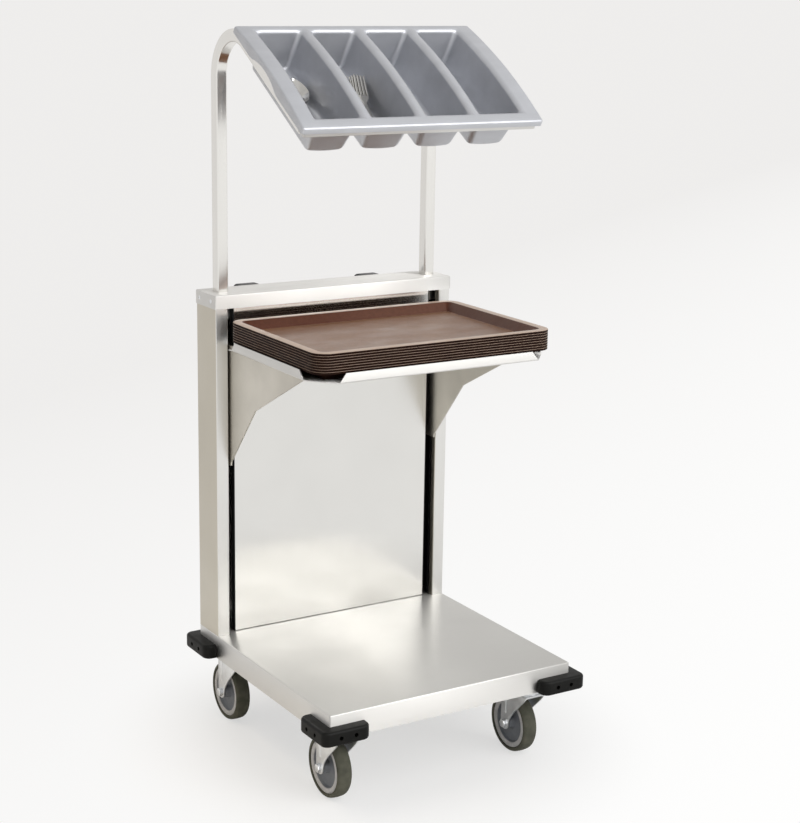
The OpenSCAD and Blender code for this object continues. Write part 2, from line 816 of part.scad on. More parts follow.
// Folded cap over the column
module column_cap() {
    color(steel) difference() {
        block([-half_w - col_sheet, col_front - col_sheet, cap_low],
              [half_w + col_sheet, half_d + col_sheet, cap_top]);
        block([-half_w, col_front, cap_low - cut], [half_w, half_d, cap_under]);
        for (s = [-1, 1]) translate([s * post_x, post_y, cap_low]) linear_extrude(height = cap_h + cut)
            rounded_rect(tube_w + 2 * post_gap, tube_w + 2 * post_gap, tube_r + post_gap);
        cap_screw_axes() cylinder(r = cap_thread_d / 2 + bolt_gap, h = cap_thread_l, center = true);
    }
}

// Screws at the cap's ends
module cap_screws() {
    color(zinc) cap_screw_axes() {
        cylinder(r = cap_screw_d / 2, h = cap_screw_h);
        translate([0, 0, -cap_thread_l]) cylinder(r = cap_thread_d / 2, h = cap_thread_l);
    }
}

// Guide channel inside the left side of the column
module guide_channel() {
    low = guide_y - guide_d / 2;
    color(black) difference() {
        block([-inner_w, low, guide_low], [-inner_w + guide_w, low + guide_d, beam_z]);
        block([-inner_w + guide_wall, low + guide_wall, guide_low - cut],
              [-inner_w + guide_w + cut, low + guide_d - guide_wall, beam_z + cut]);
    }
}

module guide_left() {
    guide_channel();
}

module guide_right() {
    mirror([1, 0, 0]) guide_channel();
}

// Beam across the column that holds the springs and the posts
module spring_beam() {
    color(steel) difference() {
        block([-inner_w, guide_y - beam_d / 2, beam_z],
              [inner_w, guide_y + beam_d / 2, beam_z + beam_h]);
        block([-inner_w - cut, guide_y - beam_d / 2 + beam_wall, beam_z + beam_wall],
              [inner_w + cut, guide_y + beam_d / 2 - beam_wall, beam_z + beam_h - beam_wall]);
    }
}

// Pull spring between beam and carriage, s picks the side
module spring(s) {
    color(zinc) translate([s * spring_x, spring_y, spring_low])
        cylinder(r = spring_d / 2, h = beam_z - spring_low);
}

// Plate that joins the two gussets inside the column
module carriage() {
    color(black) {
        block([-gusset_in, carriage_y, carriage_z],
              [gusset_in, carriage_y + carriage_t, carriage_z + carriage_h]);
        block([-gusset_in, carriage_y - ledge_d, carriage_z],
              [gusset_in, carriage_y, carriage_z + carriage_t]);
        for (s = [-1, 1])
            translate([s * (gusset_in - carriage_t / 2), carriage_y - carriage_flange / 2,
                       carriage_z + carriage_h / 2])
                cube([carriage_t, carriage_flange, carriage_h], center = true);
    }
}

// Sliding shoes that run in the guides
module guide_shoes() {
    color(black) for (s = [-1, 1]) for (p = [0, shoe_pitch])
        translate([s * (gusset_out + shoe_out) / 2, guide_y, carriage_z + p + shoe_h / 2])
            cube([shoe_out - gusset_out, shoe_d, shoe_h], center = true);
}

// Side outline of a gusset
module gusset_outline() {
    polygon([[-gusset_front, shelf_z], [root_y, shelf_z], [root_y, root_z],
             [tip_y + col_sheet, root_z], [tip_y, tip_z], [kink_y, shelf_z - kink_drop]]);
}

// Gusset plate, s picks the side
module gusset(s) {
    color(steel) translate([s * gusset_x, 0, 0]) along_x(gusset_t) gusset_outline();
}

// Slanted lip of a given length standing on its lower edge
module lip_outline(a, b) {
    polygon([[a, 0], [b, 0], [b - lip_slant, lip_h], [a + lip_slant, lip_h]]);
}

// Shelf with three lips and open front corners
module shelf() {
    side = shelf_w / 2;
    color(steel) {
        translate([0, 0, shelf_z]) linear_extrude(height = shelf_sheet)
            polygon([[-side, shelf_rear], [side, shelf_rear], [side, -shelf_front + shelf_cut_y],
                [side - shelf_cut_x, -shelf_front], [-side + shelf_cut_x, -shelf_front],
                [-side, -shelf_front + shelf_cut_y]]);
        for (s = [-1, 1]) translate([s * (side - shelf_sheet / 2), 0, shelf_z])
            along_x(shelf_sheet) lip_outline(-shelf_front + shelf_cut_y, lip_rear);
        translate([0, -shelf_front + shelf_sheet / 2, shelf_z])
            along_y(shelf_sheet) lip_outline(-side + shelf_cut_x, side - shelf_cut_x);
    }
}

// Wall section of a tray from the corner's centre outwards
module tray_section() {
    low = tray_run0 + tray_skew;
    under = tray_h - tray_t;
    polygon([[0, 0], [low, 0], [low + tray_run, under], [tray_r - tray_edge, under],
             [tray_r - tray_edge, tray_h - tray_pitch], [tray_r, tray_h - tray_pitch], [tray_r, tray_h],
             [tray_run0 + tray_run, tray_h], [tray_run0, tray_t], [0, tray_t]]);
}

// One tray, k counts from the lowest
module tray(k) {
    side = tray_w / 2 - tray_r;
    end = tray_d / 2 - tray_r;
    color(brown) translate([0, tray_y, shelf_top + k * tray_pitch]) {
        block([-side, -end, 0], [side, end, tray_t]);
        for (s = [0, 1]) rotate([0, 0, 180 * s]) {
            translate([side, 0, 0]) along_y(2 * end) tray_section();
            translate([0, end, 0]) along_x(2 * side) tray_section();
            translate([side, end, 0]) rotate_extrude(angle = 90) tray_section();
            translate([-side, end, 0]) rotate([0, 0, 90]) rotate_extrude(angle = 90) tray_section();
        }
    }
}

// Section of the square tube
module tube_section() {
    inner = tube_w - 2 * tube_wall;
    difference() {
        rounded_rect(tube_w, tube_w, tube_r);
        rounded_rect(inner, inner, tube_r - tube_wall);
    }
}

// Bent post, s picks the side
module post(s) {
    color(steel) {
        translate([s * post_x, post_y, post_low])
            linear_extrude(height = bend_z - post_low) tube_section();
        translate([s * post_x, post_y - bend_r, bend_z]) rotate([90, 0, 90])
            rotate_extrude(angle = bend_a) translate([bend_r, 0]) tube_section();
        on_slope() translate([s * post_x, -slope_s, -tube_sink]) rotate([90, 0, 0])
            linear_extrude(height = bar_s - slope_s) tube_section();
    }
}

// Cross bars between the posts that carry the bin
module cutlery_frame() {
    bar_in = post_x - tube_w / 2;
    color(steel) on_slope() {
        block([-front_bar_l / 2, -front_bar_s, -bar_top - bar_h], [front_bar_l / 2, -bar_s, -bar_top]);
        block([-bar_in, -back_bar_s, -bar_top - bar_h], [bar_in, -back_bar_s + back_bar_w, -bar_top]);
    }
}

// Outline under the domed rim, inset by t and drawn down by d
module dome_outline(t, d) {
    intersection() {
        translate([-bin_l + t, -bin_skirt - d]) square([bin_l - 2 * t, bin_skirt + d + dome_rise]);
        translate([-bin_l / 2, dome_z]) circle(r = dome_r - t, $fn = wide_sides);
    }
}

// Outline of one pocket across the bin with its rounded floor, widened by t
module pocket_across(t) {
    top = pocket_w / 2 + t;
    low = pocket_floor_w / 2 + t;
    deep = pocket_depth + t;
    slope = (top - low) / deep;
    rise = dome_rise + (t > 0 ? 0 : cut);
    floor_line = [for (u = floor_shares) [u * low, -deep - floor_sag * (1 - u * u)]];
    polygon(concat([[-top - slope * rise, rise], [top + slope * rise, rise]], floor_line));
}

// Outline of one pocket along the slope, widened by t
module pocket_along(t) {
    rise = dome_rise + (t > 0 ? 0 : cut);
    deep = pocket_depth + t + floor_sag + cut;
    polygon([[-pocket_back + t, rise], [-pocket_back + t, 0],
             [-pocket_back - pocket_back_lean + t, -deep],
             [-pocket_front + pocket_front_lean - t, -deep],
             [-pocket_front - t, 0], [-pocket_front - t, rise]]);
}

// One pocket body, widened by t
module pocket(t) {
    intersection() {
        along_y(2 * bin_l) pocket_across(t);
        along_x(bin_w) pocket_along(t);
    }
}

// Plan of the rim with corners rounded in small steps
module rim_plan() {
    x = bin_w / 2 - bin_corner_r;
    y = bin_l / 2 - bin_corner_r;
    corners = [[x, y], [-x, y], [-x, -y], [x, -y]];
    polygon([for (q = [0 : 3]) for (a = [0 : corner_step : 90])
        corners[q] + bin_corner_r * [cos(a + 90 * q), sin(a + 90 * q)]]);
}

// Solid under the domed rim
module dome_body() {
    intersection() {
        along_x(bin_w) dome_outline(0, 0);
        translate([0, -bin_l / 2, -bin_l]) linear_extrude(height = 2 * bin_l) rim_plan();
    }
}

// Domed rim and skirt with hand arches and post notches
module bin_rim() {
    notch_w = tube_w + 2 * notch_gap;
    difference() {
        dome_body();
        along_x(bin_w - 2 * bin_wall) dome_outline(bin_wall, cut);
        for (s = [-1, 1]) translate([s * bin_w / 2, -arch_s, -bin_skirt + arch_rise - arch_r])
            rotate([0, 90, 0])
                cylinder(r = arch_r, h = 4 * bin_wall, center = true, $fn = wide_sides);
        for (s = [-1, 1]) translate([s * post_x, 0, -bin_skirt])
            cube([notch_w, 4 * bin_wall, bin_skirt], center = true);
    }
}

// Places of the pockets
module pockets() {
    for (k = [0 : pocket_count - 1]) translate([pocket_x0 + k * pocket_pitch, 0, 0]) children();
}

// Bin with domed rim, skirt and four pockets
module cutlery_bin() {
    color(bingrey) on_slope() difference() {
        union() {
            bin_rim();
            intersection() {
                pockets() pocket(bin_wall);
                union() {
                    dome_body();
                    translate([-bin_w / 2, -bin_l, -bin_l]) cube([bin_w, bin_l, bin_l]);
                }
            }
        }
        pockets() pocket(0);
    }
}

// Place of a pile of cutlery in pocket k: Y along the pieces, Z off their flats
module in_pocket(k, side, lift, lean, turn) {
    middle = pocket_x0 + k * pocket_pitch;
    on_slope() translate([middle + side, -cutlery_s, lift - pocket_depth - floor_sag])
        rotate([lean, 0, 0]) rotate([0, 0, -turn]) children();
}

// Piece of a pile at a lift, turned about a point on it by a side run over a reach
module piled(lift, run, reach, about) {
    turn = asin(run * pocket_floor_w / reach);
    translate([0, about, lift]) rotate([0, 0, turn]) translate([0, -about, 0]) children();
}

// Outline of a handle up to the neck
module handle_outline(neck) {
    polygon([[-handle_end_w / 2, 0], [handle_end_w / 2, 0], [handle_neck_w / 2, neck],
             [-handle_neck_w / 2, neck]]);
    circle(r = handle_end_w / 2);
}

// Mirrored outline of a head of length l and width w from its share list
module head_outline(shares, l, w) {
    side = [for (p = shares) [p[1] * w / 2, p[0] * l]];
    n = len(side);
    polygon(concat(side, [for (i = [1 : n]) [-side[n - i][0], side[n - i][1]]]));
}

// One spoon
module one_spoon() {
    linear_extrude(height = cutlery_t) handle_outline(spoon_l - bowl_l);
    intersection() {
        translate([0, spoon_l - bowl_l, -bowl_deep]) linear_extrude(height = 2 * bowl_deep)
            head_outline(bowl_shares, bowl_l, bowl_w);
        difference() {
            translate([0, spoon_mid, bowl_r - bowl_deep]) sphere(r = bowl_r);
            translate([0, spoon_mid, bowl_r - bowl_deep + cutlery_t]) sphere(r = bowl_r);
        }
    }
}

// Pile of spoons in the first pocket
module spoons() {
    color(zinc) in_pocket(0, -spoon_side, spoon_lift, spoon_lean, spoon_turn)
        for (i = [0 : len(spoon_spread) - 1])
            piled(i * spoon_step, spoon_spread[i], spoon_mid, spoon_mid) one_spoon();
}

// One fork
module one_fork() {
    pitch = (fork_w + tine_gap) / 4;
    linear_extrude(height = cutlery_t) handle_outline(fork_neck);
    translate([0, fork_neck, 0]) rotate([fork_bend, 0, 0]) linear_extrude(height = cutlery_t) difference() {
        head_outline(fork_shares, fork_head_l, fork_w);
        for (i = [-1, 0, 1]) translate([i * pitch - tine_gap / 2, fork_head_l - tine_l])
            square([tine_gap, fork_head_l]);
    }
}

// Pile of forks in the second pocket
module forks() {
    color(zinc) in_pocket(1, -fork_side, fork_lift, 0, fork_turn)
        for (i = [0 : len(fork_spread) - 1]) piled(i * fork_step, fork_spread[i], fork_mid, 0) one_fork();
}

// Side outline of a handle bracket
module bracket_outline() {
    back = half_d + col_sheet;
    translate([back, bar_z - bracket_foot + bracket_r]) square([bar_out / 2, bracket_foot]);
    translate([back, bar_z - bracket_r]) square([bar_out, 2 * bracket_r]);
    translate([bar_y, bar_z]) circle(r = bracket_r);
}

// Two brackets behind the cap
module handle_brackets() {
    color(black) difference() {
        for (s = [-1, 1]) translate([s * bracket_x, 0, 0]) along_x(bracket_w) bracket_outline();
        translate([0, bar_y, bar_z]) rotate([0, 90, 0])
            cylinder(r = bar_d / 2 + bar_gap, h = bar_l + 2 * bar_gap, center = true);
    }
}

// Round bar between the brackets
module handle_bar() {
    color(steel) translate([0, bar_y, bar_z]) rotate([0, 90, 0])
        cylinder(r = bar_d / 2, h = bar_l, center = true);
}

placed() base_platform();
placed() underframe();
placed() bumper(-1, -1);  // bumper_fl
placed() bumper(1, -1);  // bumper_fr
placed() bumper(-1, 1);  // bumper_rl
placed() bumper(1, 1);  // bumper_rr
placed() bumper_screws();
placed() caster_plate(-1, -1);  // caster_plate_fl
placed() caster_plate(1, -1);  // caster_plate_fr
placed() caster_plate(-1, 1);  // caster_plate_rl
placed() caster_plate(1, 1);  // caster_plate_rr
placed() caster_fork(-1, -1);  // caster_fork_fl
placed() caster_fork(1, -1);  // caster_fork_fr
placed() caster_fork(-1, 1);  // caster_fork_rl
placed() caster_fork(1, 1);  // caster_fork_rr
placed() caster_axle(-1, -1);  // caster_axle_fl
placed() caster_axle(1, -1);  // caster_axle_fr
placed() caster_axle(-1, 1);  // caster_axle_rl
placed() caster_axle(1, 1);  // caster_axle_rr
placed() wheel_hub(-1, -1);  // wheel_hub_fl
placed() wheel_hub(1, -1);  // wheel_hub_fr
placed() wheel_hub(-1, 1);  // wheel_hub_rl
placed() wheel_hub(1, 1);  // wheel_hub_rr
placed() wheel_tyre(-1, -1);  // wheel_tyre_fl
placed() wheel_tyre(1, -1);  // wheel_tyre_fr
placed() wheel_tyre(-1, 1);  // wheel_tyre_rl
placed() wheel_tyre(1, 1);  // wheel_tyre_rr
placed() column_left();
placed() column_right();
placed() front_panel();
placed() slot_trims();
placed() rear_cover();
placed() column_cap();
placed() cap_screws();
placed() guide_left();
placed() guide_right();
placed() spring_beam();
placed() spring(-1);  // spring_left
placed() spring(1);  // spring_right
placed() carriage();
placed() guide_shoes();
placed() gusset(-1);  // gusset_left
placed() gusset(1);  // gusset_right
placed() shelf();
placed() tray(0);  // tray_1
placed() tray(1);  // tray_2
placed() tray(2);  // tray_3
placed() tray(3);  // tray_4
placed() tray(4);  // tray_5
placed() tray(5);  // tray_6
placed() tray(6);  // tray_7
placed() tray(7);  // tray_8
placed() post(-1);  // post_left
placed() post(1);  // post_right
placed() cutlery_frame();
placed() cutlery_bin();
placed() spoons();
placed() forks();
placed() handle_brackets();
placed() handle_bar();
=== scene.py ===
"""Looks of a tray and cutlery trolley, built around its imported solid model.

X runs to the right, Y to the back and Z up. Lengths are metres and the origin is on the floor.
"""

import logging
import math
from collections.abc import Callable, Iterator, Sequence
from contextlib import contextmanager
from dataclasses import dataclass, field
from enum import Enum

import bmesh
import bpy
from mathutils import Matrix, Vector

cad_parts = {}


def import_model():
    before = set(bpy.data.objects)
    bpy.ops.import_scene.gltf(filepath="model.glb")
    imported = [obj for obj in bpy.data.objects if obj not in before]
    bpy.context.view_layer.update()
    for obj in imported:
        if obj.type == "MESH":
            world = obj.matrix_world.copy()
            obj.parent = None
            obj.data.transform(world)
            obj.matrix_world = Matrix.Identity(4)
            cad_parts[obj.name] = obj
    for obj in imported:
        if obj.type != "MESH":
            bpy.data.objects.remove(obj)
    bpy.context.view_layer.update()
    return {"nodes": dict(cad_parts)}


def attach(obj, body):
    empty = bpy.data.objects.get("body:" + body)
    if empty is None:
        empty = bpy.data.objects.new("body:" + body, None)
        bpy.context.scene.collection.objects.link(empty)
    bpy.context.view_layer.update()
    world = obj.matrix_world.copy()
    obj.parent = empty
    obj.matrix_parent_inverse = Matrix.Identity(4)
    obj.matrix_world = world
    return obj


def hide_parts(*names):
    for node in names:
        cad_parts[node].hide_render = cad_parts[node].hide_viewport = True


Point = Sequence[float]
Pair = tuple[float, float]
Triple = tuple[float, float, float]
Profile = tuple[Pair, ...]
Test = Callable[[Vector, Vector], bool]
Item = bmesh.types.BMEdge | bmesh.types.BMFace
NodeMap = dict[str, bpy.types.Object]

LOG = logging.getLogger("trolley")
TINY = 1e-5  # places closer than this are the same
DIGITS = 5  # decimals of a place that is looked up
FLAT = 0.9  # part of a normal along an axis, for a face that lies square to it
FACING = 0.7  # the same, for a face that mostly looks that way
LIT_RING_MARK = "ring"
RIM_MARK = "rim"
ORIGIN = (0, 0, 0)
ACROSS = (1, 0, 0)
ALONG = (0, 1, 0)
UP = (0, 0, 1)
MIRROR = Matrix.Diagonal((-1, 1, 1, 1))


class Corner(Enum):
    """The four corners of the platform, as side signs in X and Y."""

    FL = (-1, -1)
    FR = (1, -1)
    RL = (-1, 1)
    RR = (1, 1)

    @property
    def tag(self) -> str:
        """Ending of the node names at this corner."""
        return self.name.lower()


class Grain(Enum):
    """Direction of the brushing on a sheet, as noise scales in X, Y and Z."""

    ALONG_X = (4.0, 420.0, 420.0)
    ALONG_Y = (420.0, 4.0, 420.0)
    ALONG_Z = (420.0, 420.0, 4.0)


def always(_: Vector, __: Vector) -> bool:
    """Test that every face and every edge passes."""
    return True


def upright(a: Vector, b: Vector) -> bool:
    """Whether the ends of an edge differ in height."""
    return abs(a.z - b.z) > TINY


def arc(centre: Point, radius: float, start: float, end: float, steps: int) -> list[Pair]:
    """Points on an arc in a plane.

    Args:
        centre: Middle of the arc.
        radius: Its radius.
        start: First angle in degrees.
        end: Last angle in degrees.
        steps: Number of straight steps.

    Returns:
        The points from start to end.
    """
    turn = [math.radians(start + (end - start) * i / steps) for i in range(steps + 1)]
    return [(centre[0] + radius * math.cos(a), centre[1] + radius * math.sin(a)) for a in turn]


def rounded_box(half_x: float, half_y: float, radius: float, steps: int) -> list[Pair]:
    """Outline of a rectangle about the origin with rounded corners.

    Args:
        half_x: Half of its width.
        half_y: Half of its depth.
        radius: Radius of its corners.
        steps: Straight steps in each corner.

    Returns:
        The points, round from the right.
    """
    plan: list[Pair] = []
    for quarter, (sx, sy) in enumerate(((1, 1), (-1, 1), (-1, -1), (1, -1))):
        centre = (sx * (half_x - radius), sy * (half_y - radius))
        plan += arc(centre, radius, 90 * quarter, 90 * quarter + 90, steps)
    return plan


def rounded(path: Sequence[Point], radius: float, steps: int) -> list[Pair]:
    """Open path in a plane with its inner corners rounded.

    Args:
        path: Corner points.
        radius: Radius of each corner.
        steps: Straight steps in each corner.

    Returns:
        The rounded path.
    """
    out = [tuple(path[0])]
    for before, here, after in zip(path, path[1:], path[2:]):
        mid = Vector(here)
        back = (Vector(before) - mid).normalized()
        ahead = (Vector(after) - mid).normalized()
        half = back.angle(ahead) / 2
        reach = radius / math.tan(half)
        centre = mid + (back + ahead).normalized() * radius / math.sin(half)
        first, last = mid + back * reach - centre, mid + ahead * reach - centre
        start = math.atan2(first.y, first.x)
        turn = (math.atan2(last.y, last.x) - start + math.pi) % (2 * math.pi) - math.pi
        out += arc(centre, radius, math.degrees(start), math.degrees(start + turn), steps)
    out.append(tuple(path[-1]))
    return out


def both_sides(half: Sequence[Pair], middle: Sequence[Pair] = ()) -> list[Pair]:
    """Closed lathe profile with the same steps on both sides of its middle.

    Args:
        half: Radius and height pairs of the upper side, from the inside out.
        middle: Pairs between the two sides.

    Returns:
        The whole profile, back to its start.
    """
    return [*half, *middle, *((r, -h) for r, h in reversed(half)), half[0]]


def deselect() -> None:
    """Deselects every object."""
    for obj in bpy.context.selected_objects:
        obj.select_set(False)


class Piece:
    """One mesh object that is modelled with edit mode moves."""

    def __init__(self, obj: bpy.types.Object, name: str) -> None:
        """Takes over a new object and names it."""
        self.obj = obj
        obj.name = obj.data.name = name

    @classmethod
    def block(cls, name: str, low: Point, high: Point) -> "Piece":
        """A box between two corners.

        Args:
            name: Name of the piece.
            low: Lowest corner.
            high: Highest corner.

        Returns:
            The new piece.
        """
        deselect()
        bpy.ops.mesh.primitive_cube_add(size=1)
        piece = cls(bpy.context.object, name)
        low, high = Vector(low), Vector(high)
        piece.obj.location = (low + high) / 2
        piece.obj.scale = high - low
        bpy.ops.object.transform_apply(location=True, rotation=False, scale=True)
        return piece

    @classmethod
    def folded(
        cls, name: str, low: Point, high: Point, sheet: float, radii: Pair, segments: int
    ) -> "Piece":
        """A box of folded sheet that is open below.

        Args:
            name: Name of the piece.
            low: Lowest corner.
            high: Highest corner.
            sheet: Thickness of the sheet.
            radii: Radius of the upright corners and of the folds at the top.
            segments: Steps of each rounding.

        Returns:
            The new piece.
        """
        corner, fold = radii
        side, top = high[0] - TINY, high[2] - TINY
        piece = cls.block(name, low, high)
        piece.faces(lambda c, n: n.z < -FLAT).inset(sheet)
        piece.extrude((0, 0, high[2] - low[2] - sheet))
        piece.edges(lambda a, b: abs(a.z - b.z) > sheet and abs(a.x) > side)
        piece.bevel(corner, segments)
        return piece.edges(lambda a, b: min(a.z, b.z) > top).bevel(fold, segments)

    @classmethod
    def line(cls, name: str, points: Sequence[Point], closed: bool = False) -> "Piece":
        """A chain of edges drawn by extruding one vertex.

        Args:
            name: Name of the piece.
            points: Points of the chain.
            closed: Whether the chain is closed and filled with a face.

        Returns:
            The new piece.
        """
        deselect()
        bpy.ops.mesh.primitive_plane_add(size=0.01)
        piece = cls(bpy.context.object, name)
        with piece.edit("VERT"):
            bpy.ops.mesh.select_all(action="SELECT")
            bpy.ops.mesh.merge(type="CENTER")
            bpy.ops.transform.translate(value=Vector(points[0]))
            for here, there in zip(points, points[1:]):
                step = Vector(there) - Vector(here)
                bpy.ops.mesh.extrude_region_move(TRANSFORM_OT_translate={"value": step})
            if closed:
                bpy.ops.mesh.select_all(action="SELECT")
                bpy.ops.mesh.edge_face_add()
        return piece

    @classmethod
    def grid(cls, name: str, columns: Sequence[float], rows: Sequence[float]) -> "Piece":
        """A flat grid with its lines at given places in X and Y.

        Args:
            name: Name of the piece.
            columns: X of each line across.
            rows: Y of each line along.

        Returns:
            The new piece.
        """
        deselect()
        nx, ny = len(columns) - 1, len(rows) - 1
        bpy.ops.mesh.primitive_grid_add(x_subdivisions=nx, y_subdivisions=ny, size=2)
        piece = cls(bpy.context.object, name)
        for v in piece.obj.data.vertices:
            i, j = round((v.co.x + 1) * nx / 2), round((v.co.y + 1) * ny / 2)
            v.co = (columns[i], rows[j], 0)
        return piece

    @classmethod
    def lathe(
        cls, name: str, profile: Sequence[Point], centre: Point, axis: Point, steps: int
    ) -> "Piece":
        """A profile turned round an axis.

        Args:
            name: Name of the piece.
            profile: Radius and height pairs along the axis, from the centre point.
            centre: Point on the axis.
            axis: Direction of the axis.
            steps: Steps of the full turn.

        Returns:
            The new piece, closed.
        """
        along = Vector(axis).normalized()
        out = along.orthogonal().normalized()
        piece = cls.line(name, [Vector(centre) + out * r + along * h for r, h in profile])
        with piece.edit("VERT"):
            bpy.ops.mesh.select_all(action="SELECT")
            bpy.ops.mesh.spin(steps=steps, angle=2 * math.pi, center=Vector(centre), axis=along)
        return piece.weld()

    @classmethod
    def merged(cls, name: str, pieces: Sequence["Piece"]) -> "Piece":
        """Several pieces as one object.

        Args:
            name: Name of the object.
            pieces: The pieces, of which the first takes in the others.

        Returns:
            The first piece.
        """
        first, *others = pieces
        first.join(*others).obj.name = name
        return first

    def pick(self, *others: "Piece") -> None:
        """Selects this piece and others alone, with this one active.

        Args:
            others: Pieces to select as well.
        """
        deselect()
        for piece in (*others, self):
            piece.obj.select_set(True)
        bpy.context.view_layer.objects.active = self.obj

    @contextmanager
    def edit(self, mode: str) -> Iterator[None]:
        """Edit mode on this piece alone.

        Args:
            mode: What is selected there: VERT, EDGE or FACE.

        Yields:
            Nothing, while edit mode is on.
        """
        self.pick()
        bpy.ops.object.mode_set(mode="EDIT")
        bpy.ops.mesh.select_mode(type=mode)
        try:
            yield
        finally:
            bpy.ops.object.mode_set(mode="OBJECT")

    def choose(self, mode: str, test: Callable[[Item], bool]) -> "Piece":
        """Selects the edges or the faces that pass a test.

        Args:
            mode: EDGE or FACE.
            test: Test on an edge or a face.

        Returns:
            The piece.
        """
        with self.edit(mode):
            bpy.ops.mesh.select_all(action="DESELECT")
            mesh = bmesh.from_edit_mesh(self.obj.data)
            for item in mesh.edges if mode == "EDGE" else mesh.faces:
                item.select_set(test(item))
            mesh.select_flush_mode()
            bmesh.update_edit_mesh(self.obj.data)
        return self

    def faces(self, test: Test) -> "Piece":
        """Selects the faces whose middle and normal pass a test."""
        return self.choose("FACE", lambda face: test(face.calc_center_median(), face.normal))

    def edges(self, test: Test) -> "Piece":
        """Selects the edges whose two ends pass a test."""
        return self.choose("EDGE", lambda edge: test(edge.verts[0].co, edge.verts[1].co))

    def extrude(self, offset: Point, mode: str = "FACE") -> "Piece":
        """Extrudes what is selected and moves it.

        Args:
            offset: The move.
            mode: Whether an EDGE or a FACE is drawn out.

        Returns:
            The piece.
        """
        with self.edit(mode):
            bpy.ops.mesh.extrude_region_move(TRANSFORM_OT_translate={"value": Vector(offset)})
        return self

    def inset(self, width: float, depth: float = 0.0) -> "Piece":
        """Insets the selected faces.

        Args:
            width: Width of the border.
            depth: Shift along the normal.

        Returns:
            The piece.
        """
        with self.edit("FACE"):
            bpy.ops.mesh.inset(thickness=width, depth=depth, use_even_offset=True)
        return self

    def bevel(self, width: float, segments: int) -> "Piece":
        """Rounds the selected edges.

        Args:
            width: Width of the rounding.
            segments: Its steps.

        Returns:
            The piece.
        """
        with self.edit("EDGE"):
            bpy.ops.mesh.bevel(offset=width, segments=segments, profile=0.5, affect="EDGES")
        return self

    def move(self, rule: Callable[[Vector], Point], selected: bool = False) -> "Piece":
        """Moves vertices to where a rule puts them.

        Args:
            rule: New place from the old one.
            selected: Whether only selected vertices move.

        Returns:
            The piece.
        """
        for v in self.obj.data.vertices:
            if v.select or not selected:
                v.co = rule(v.co.copy())
        self.obj.data.update()
        return self

    def mark(self, name: str, test: Test) -> "Piece":
        """Writes 1 on the faces that pass a test and 0 on the others.

        Args:
            name: Name of the mark, which a finish reads.
            test: Test on a face's middle and normal.

        Returns:
            The piece.
        """
        layer = self.obj.data.attributes.new(name, "FLOAT", "FACE")
        for spot, face in zip(layer.data, self.obj.data.polygons):
            spot.value = float(test(face.center, face.normal))
        return self

    def weld(self) -> "Piece":
        """Merges doubled vertices and turns all faces outwards.

        Returns:
            The piece.
        """
        with self.edit("VERT"):
            bpy.ops.mesh.select_all(action="SELECT")
            bpy.ops.mesh.remove_doubles(threshold=TINY)
            bpy.ops.mesh.normals_make_consistent(inside=False)
        return self

    def face_up(self) -> "Piece":
        """Welds an open sheet and turns its largest face up, with the others to match.

        Returns:
            The piece.
        """
        self.weld()
        if max(self.obj.data.polygons, key=lambda p: p.area).normal.z < 0:
            self.obj.data.flip_normals()
        return self

    def modifier(self, kind: str, **settings: object) -> "Piece":
        """Adds a modifier and applies it.

        Args:
            kind: Type of the modifier.
            settings: Its settings.

        Returns:
            The piece.
        """
        self.pick()
        modifier = self.obj.modifiers.new(kind.title(), kind)
        for key, value in settings.items():
            setattr(modifier, key, value)
        bpy.ops.object.modifier_apply(modifier=modifier.name)
        return self

    def round_edges(self, width: float, segments: int, angle: float = 40.0) -> "Piece":
        """Rounds every sharp edge.

        Args:
            width: Width of the rounding.
            segments: Its steps.
            angle: Least angle of a sharp edge in degrees.

        Returns:
            The piece.
        """
        sharp = {"limit_method": "ANGLE", "angle_limit": math.radians(angle)}
        return self.modifier("BEVEL", width=width, segments=segments, **sharp)

    def sheet(self, thickness: float, offset: float) -> "Piece":
        """Gives a surface its sheet thickness, below it at an offset of -1 and above at 1."""
        return self.modifier("SOLIDIFY", thickness=thickness, offset=offset, use_even_offset=True)

    def cut(self, cutter: "Piece") -> "Piece":
        """Cuts another piece out of this one and removes it.

        Args:
            cutter: The other piece.

        Returns:
            The piece.
        """
        self.modifier("BOOLEAN", operation="DIFFERENCE", solver="EXACT", object=cutter.obj)
        cutter.remove()
        return self

    def remove(self) -> None:
        """Deletes the piece."""
        bpy.data.objects.remove(self.obj)

    def join(self, *others: "Piece") -> "Piece":
        """Takes other pieces into this one's mesh.

        Args:
            others: The other pieces.

        Returns:
            The piece.
        """
        self.pick(*others)
        bpy.ops.object.join()
        return self

    def place(self, matrix: Matrix) -> "Piece":
        """Moves the mesh, and turns its faces where that mirrors it.

        Args:
            matrix: The move.

        Returns:
            The piece.
        """
        self.obj.data.transform(matrix)
        if matrix.determinant() < 0:
            self.obj.data.flip_normals()
        return self

    def copy(self, name: str, matrix: Matrix) -> "Piece":
        """A moved copy with its own mesh.

        Args:
            name: Name of the copy.
            matrix: The move.

        Returns:
            The copy.
        """
        obj = self.obj.copy()
        obj.data = self.obj.data.copy()
        bpy.context.collection.objects.link(obj)
        return Piece(obj, name).place(matrix)

    def smooth(self, angle: float = 32.0) -> "Piece":
        """Smooth shading between faces that meet at less than an angle.

        Args:
            angle: The angle in degrees.

        Returns:
            The piece.
        """
        self.pick()
        bpy.ops.object.shade_smooth_by_angle(angle=math.radians(angle))
        return self

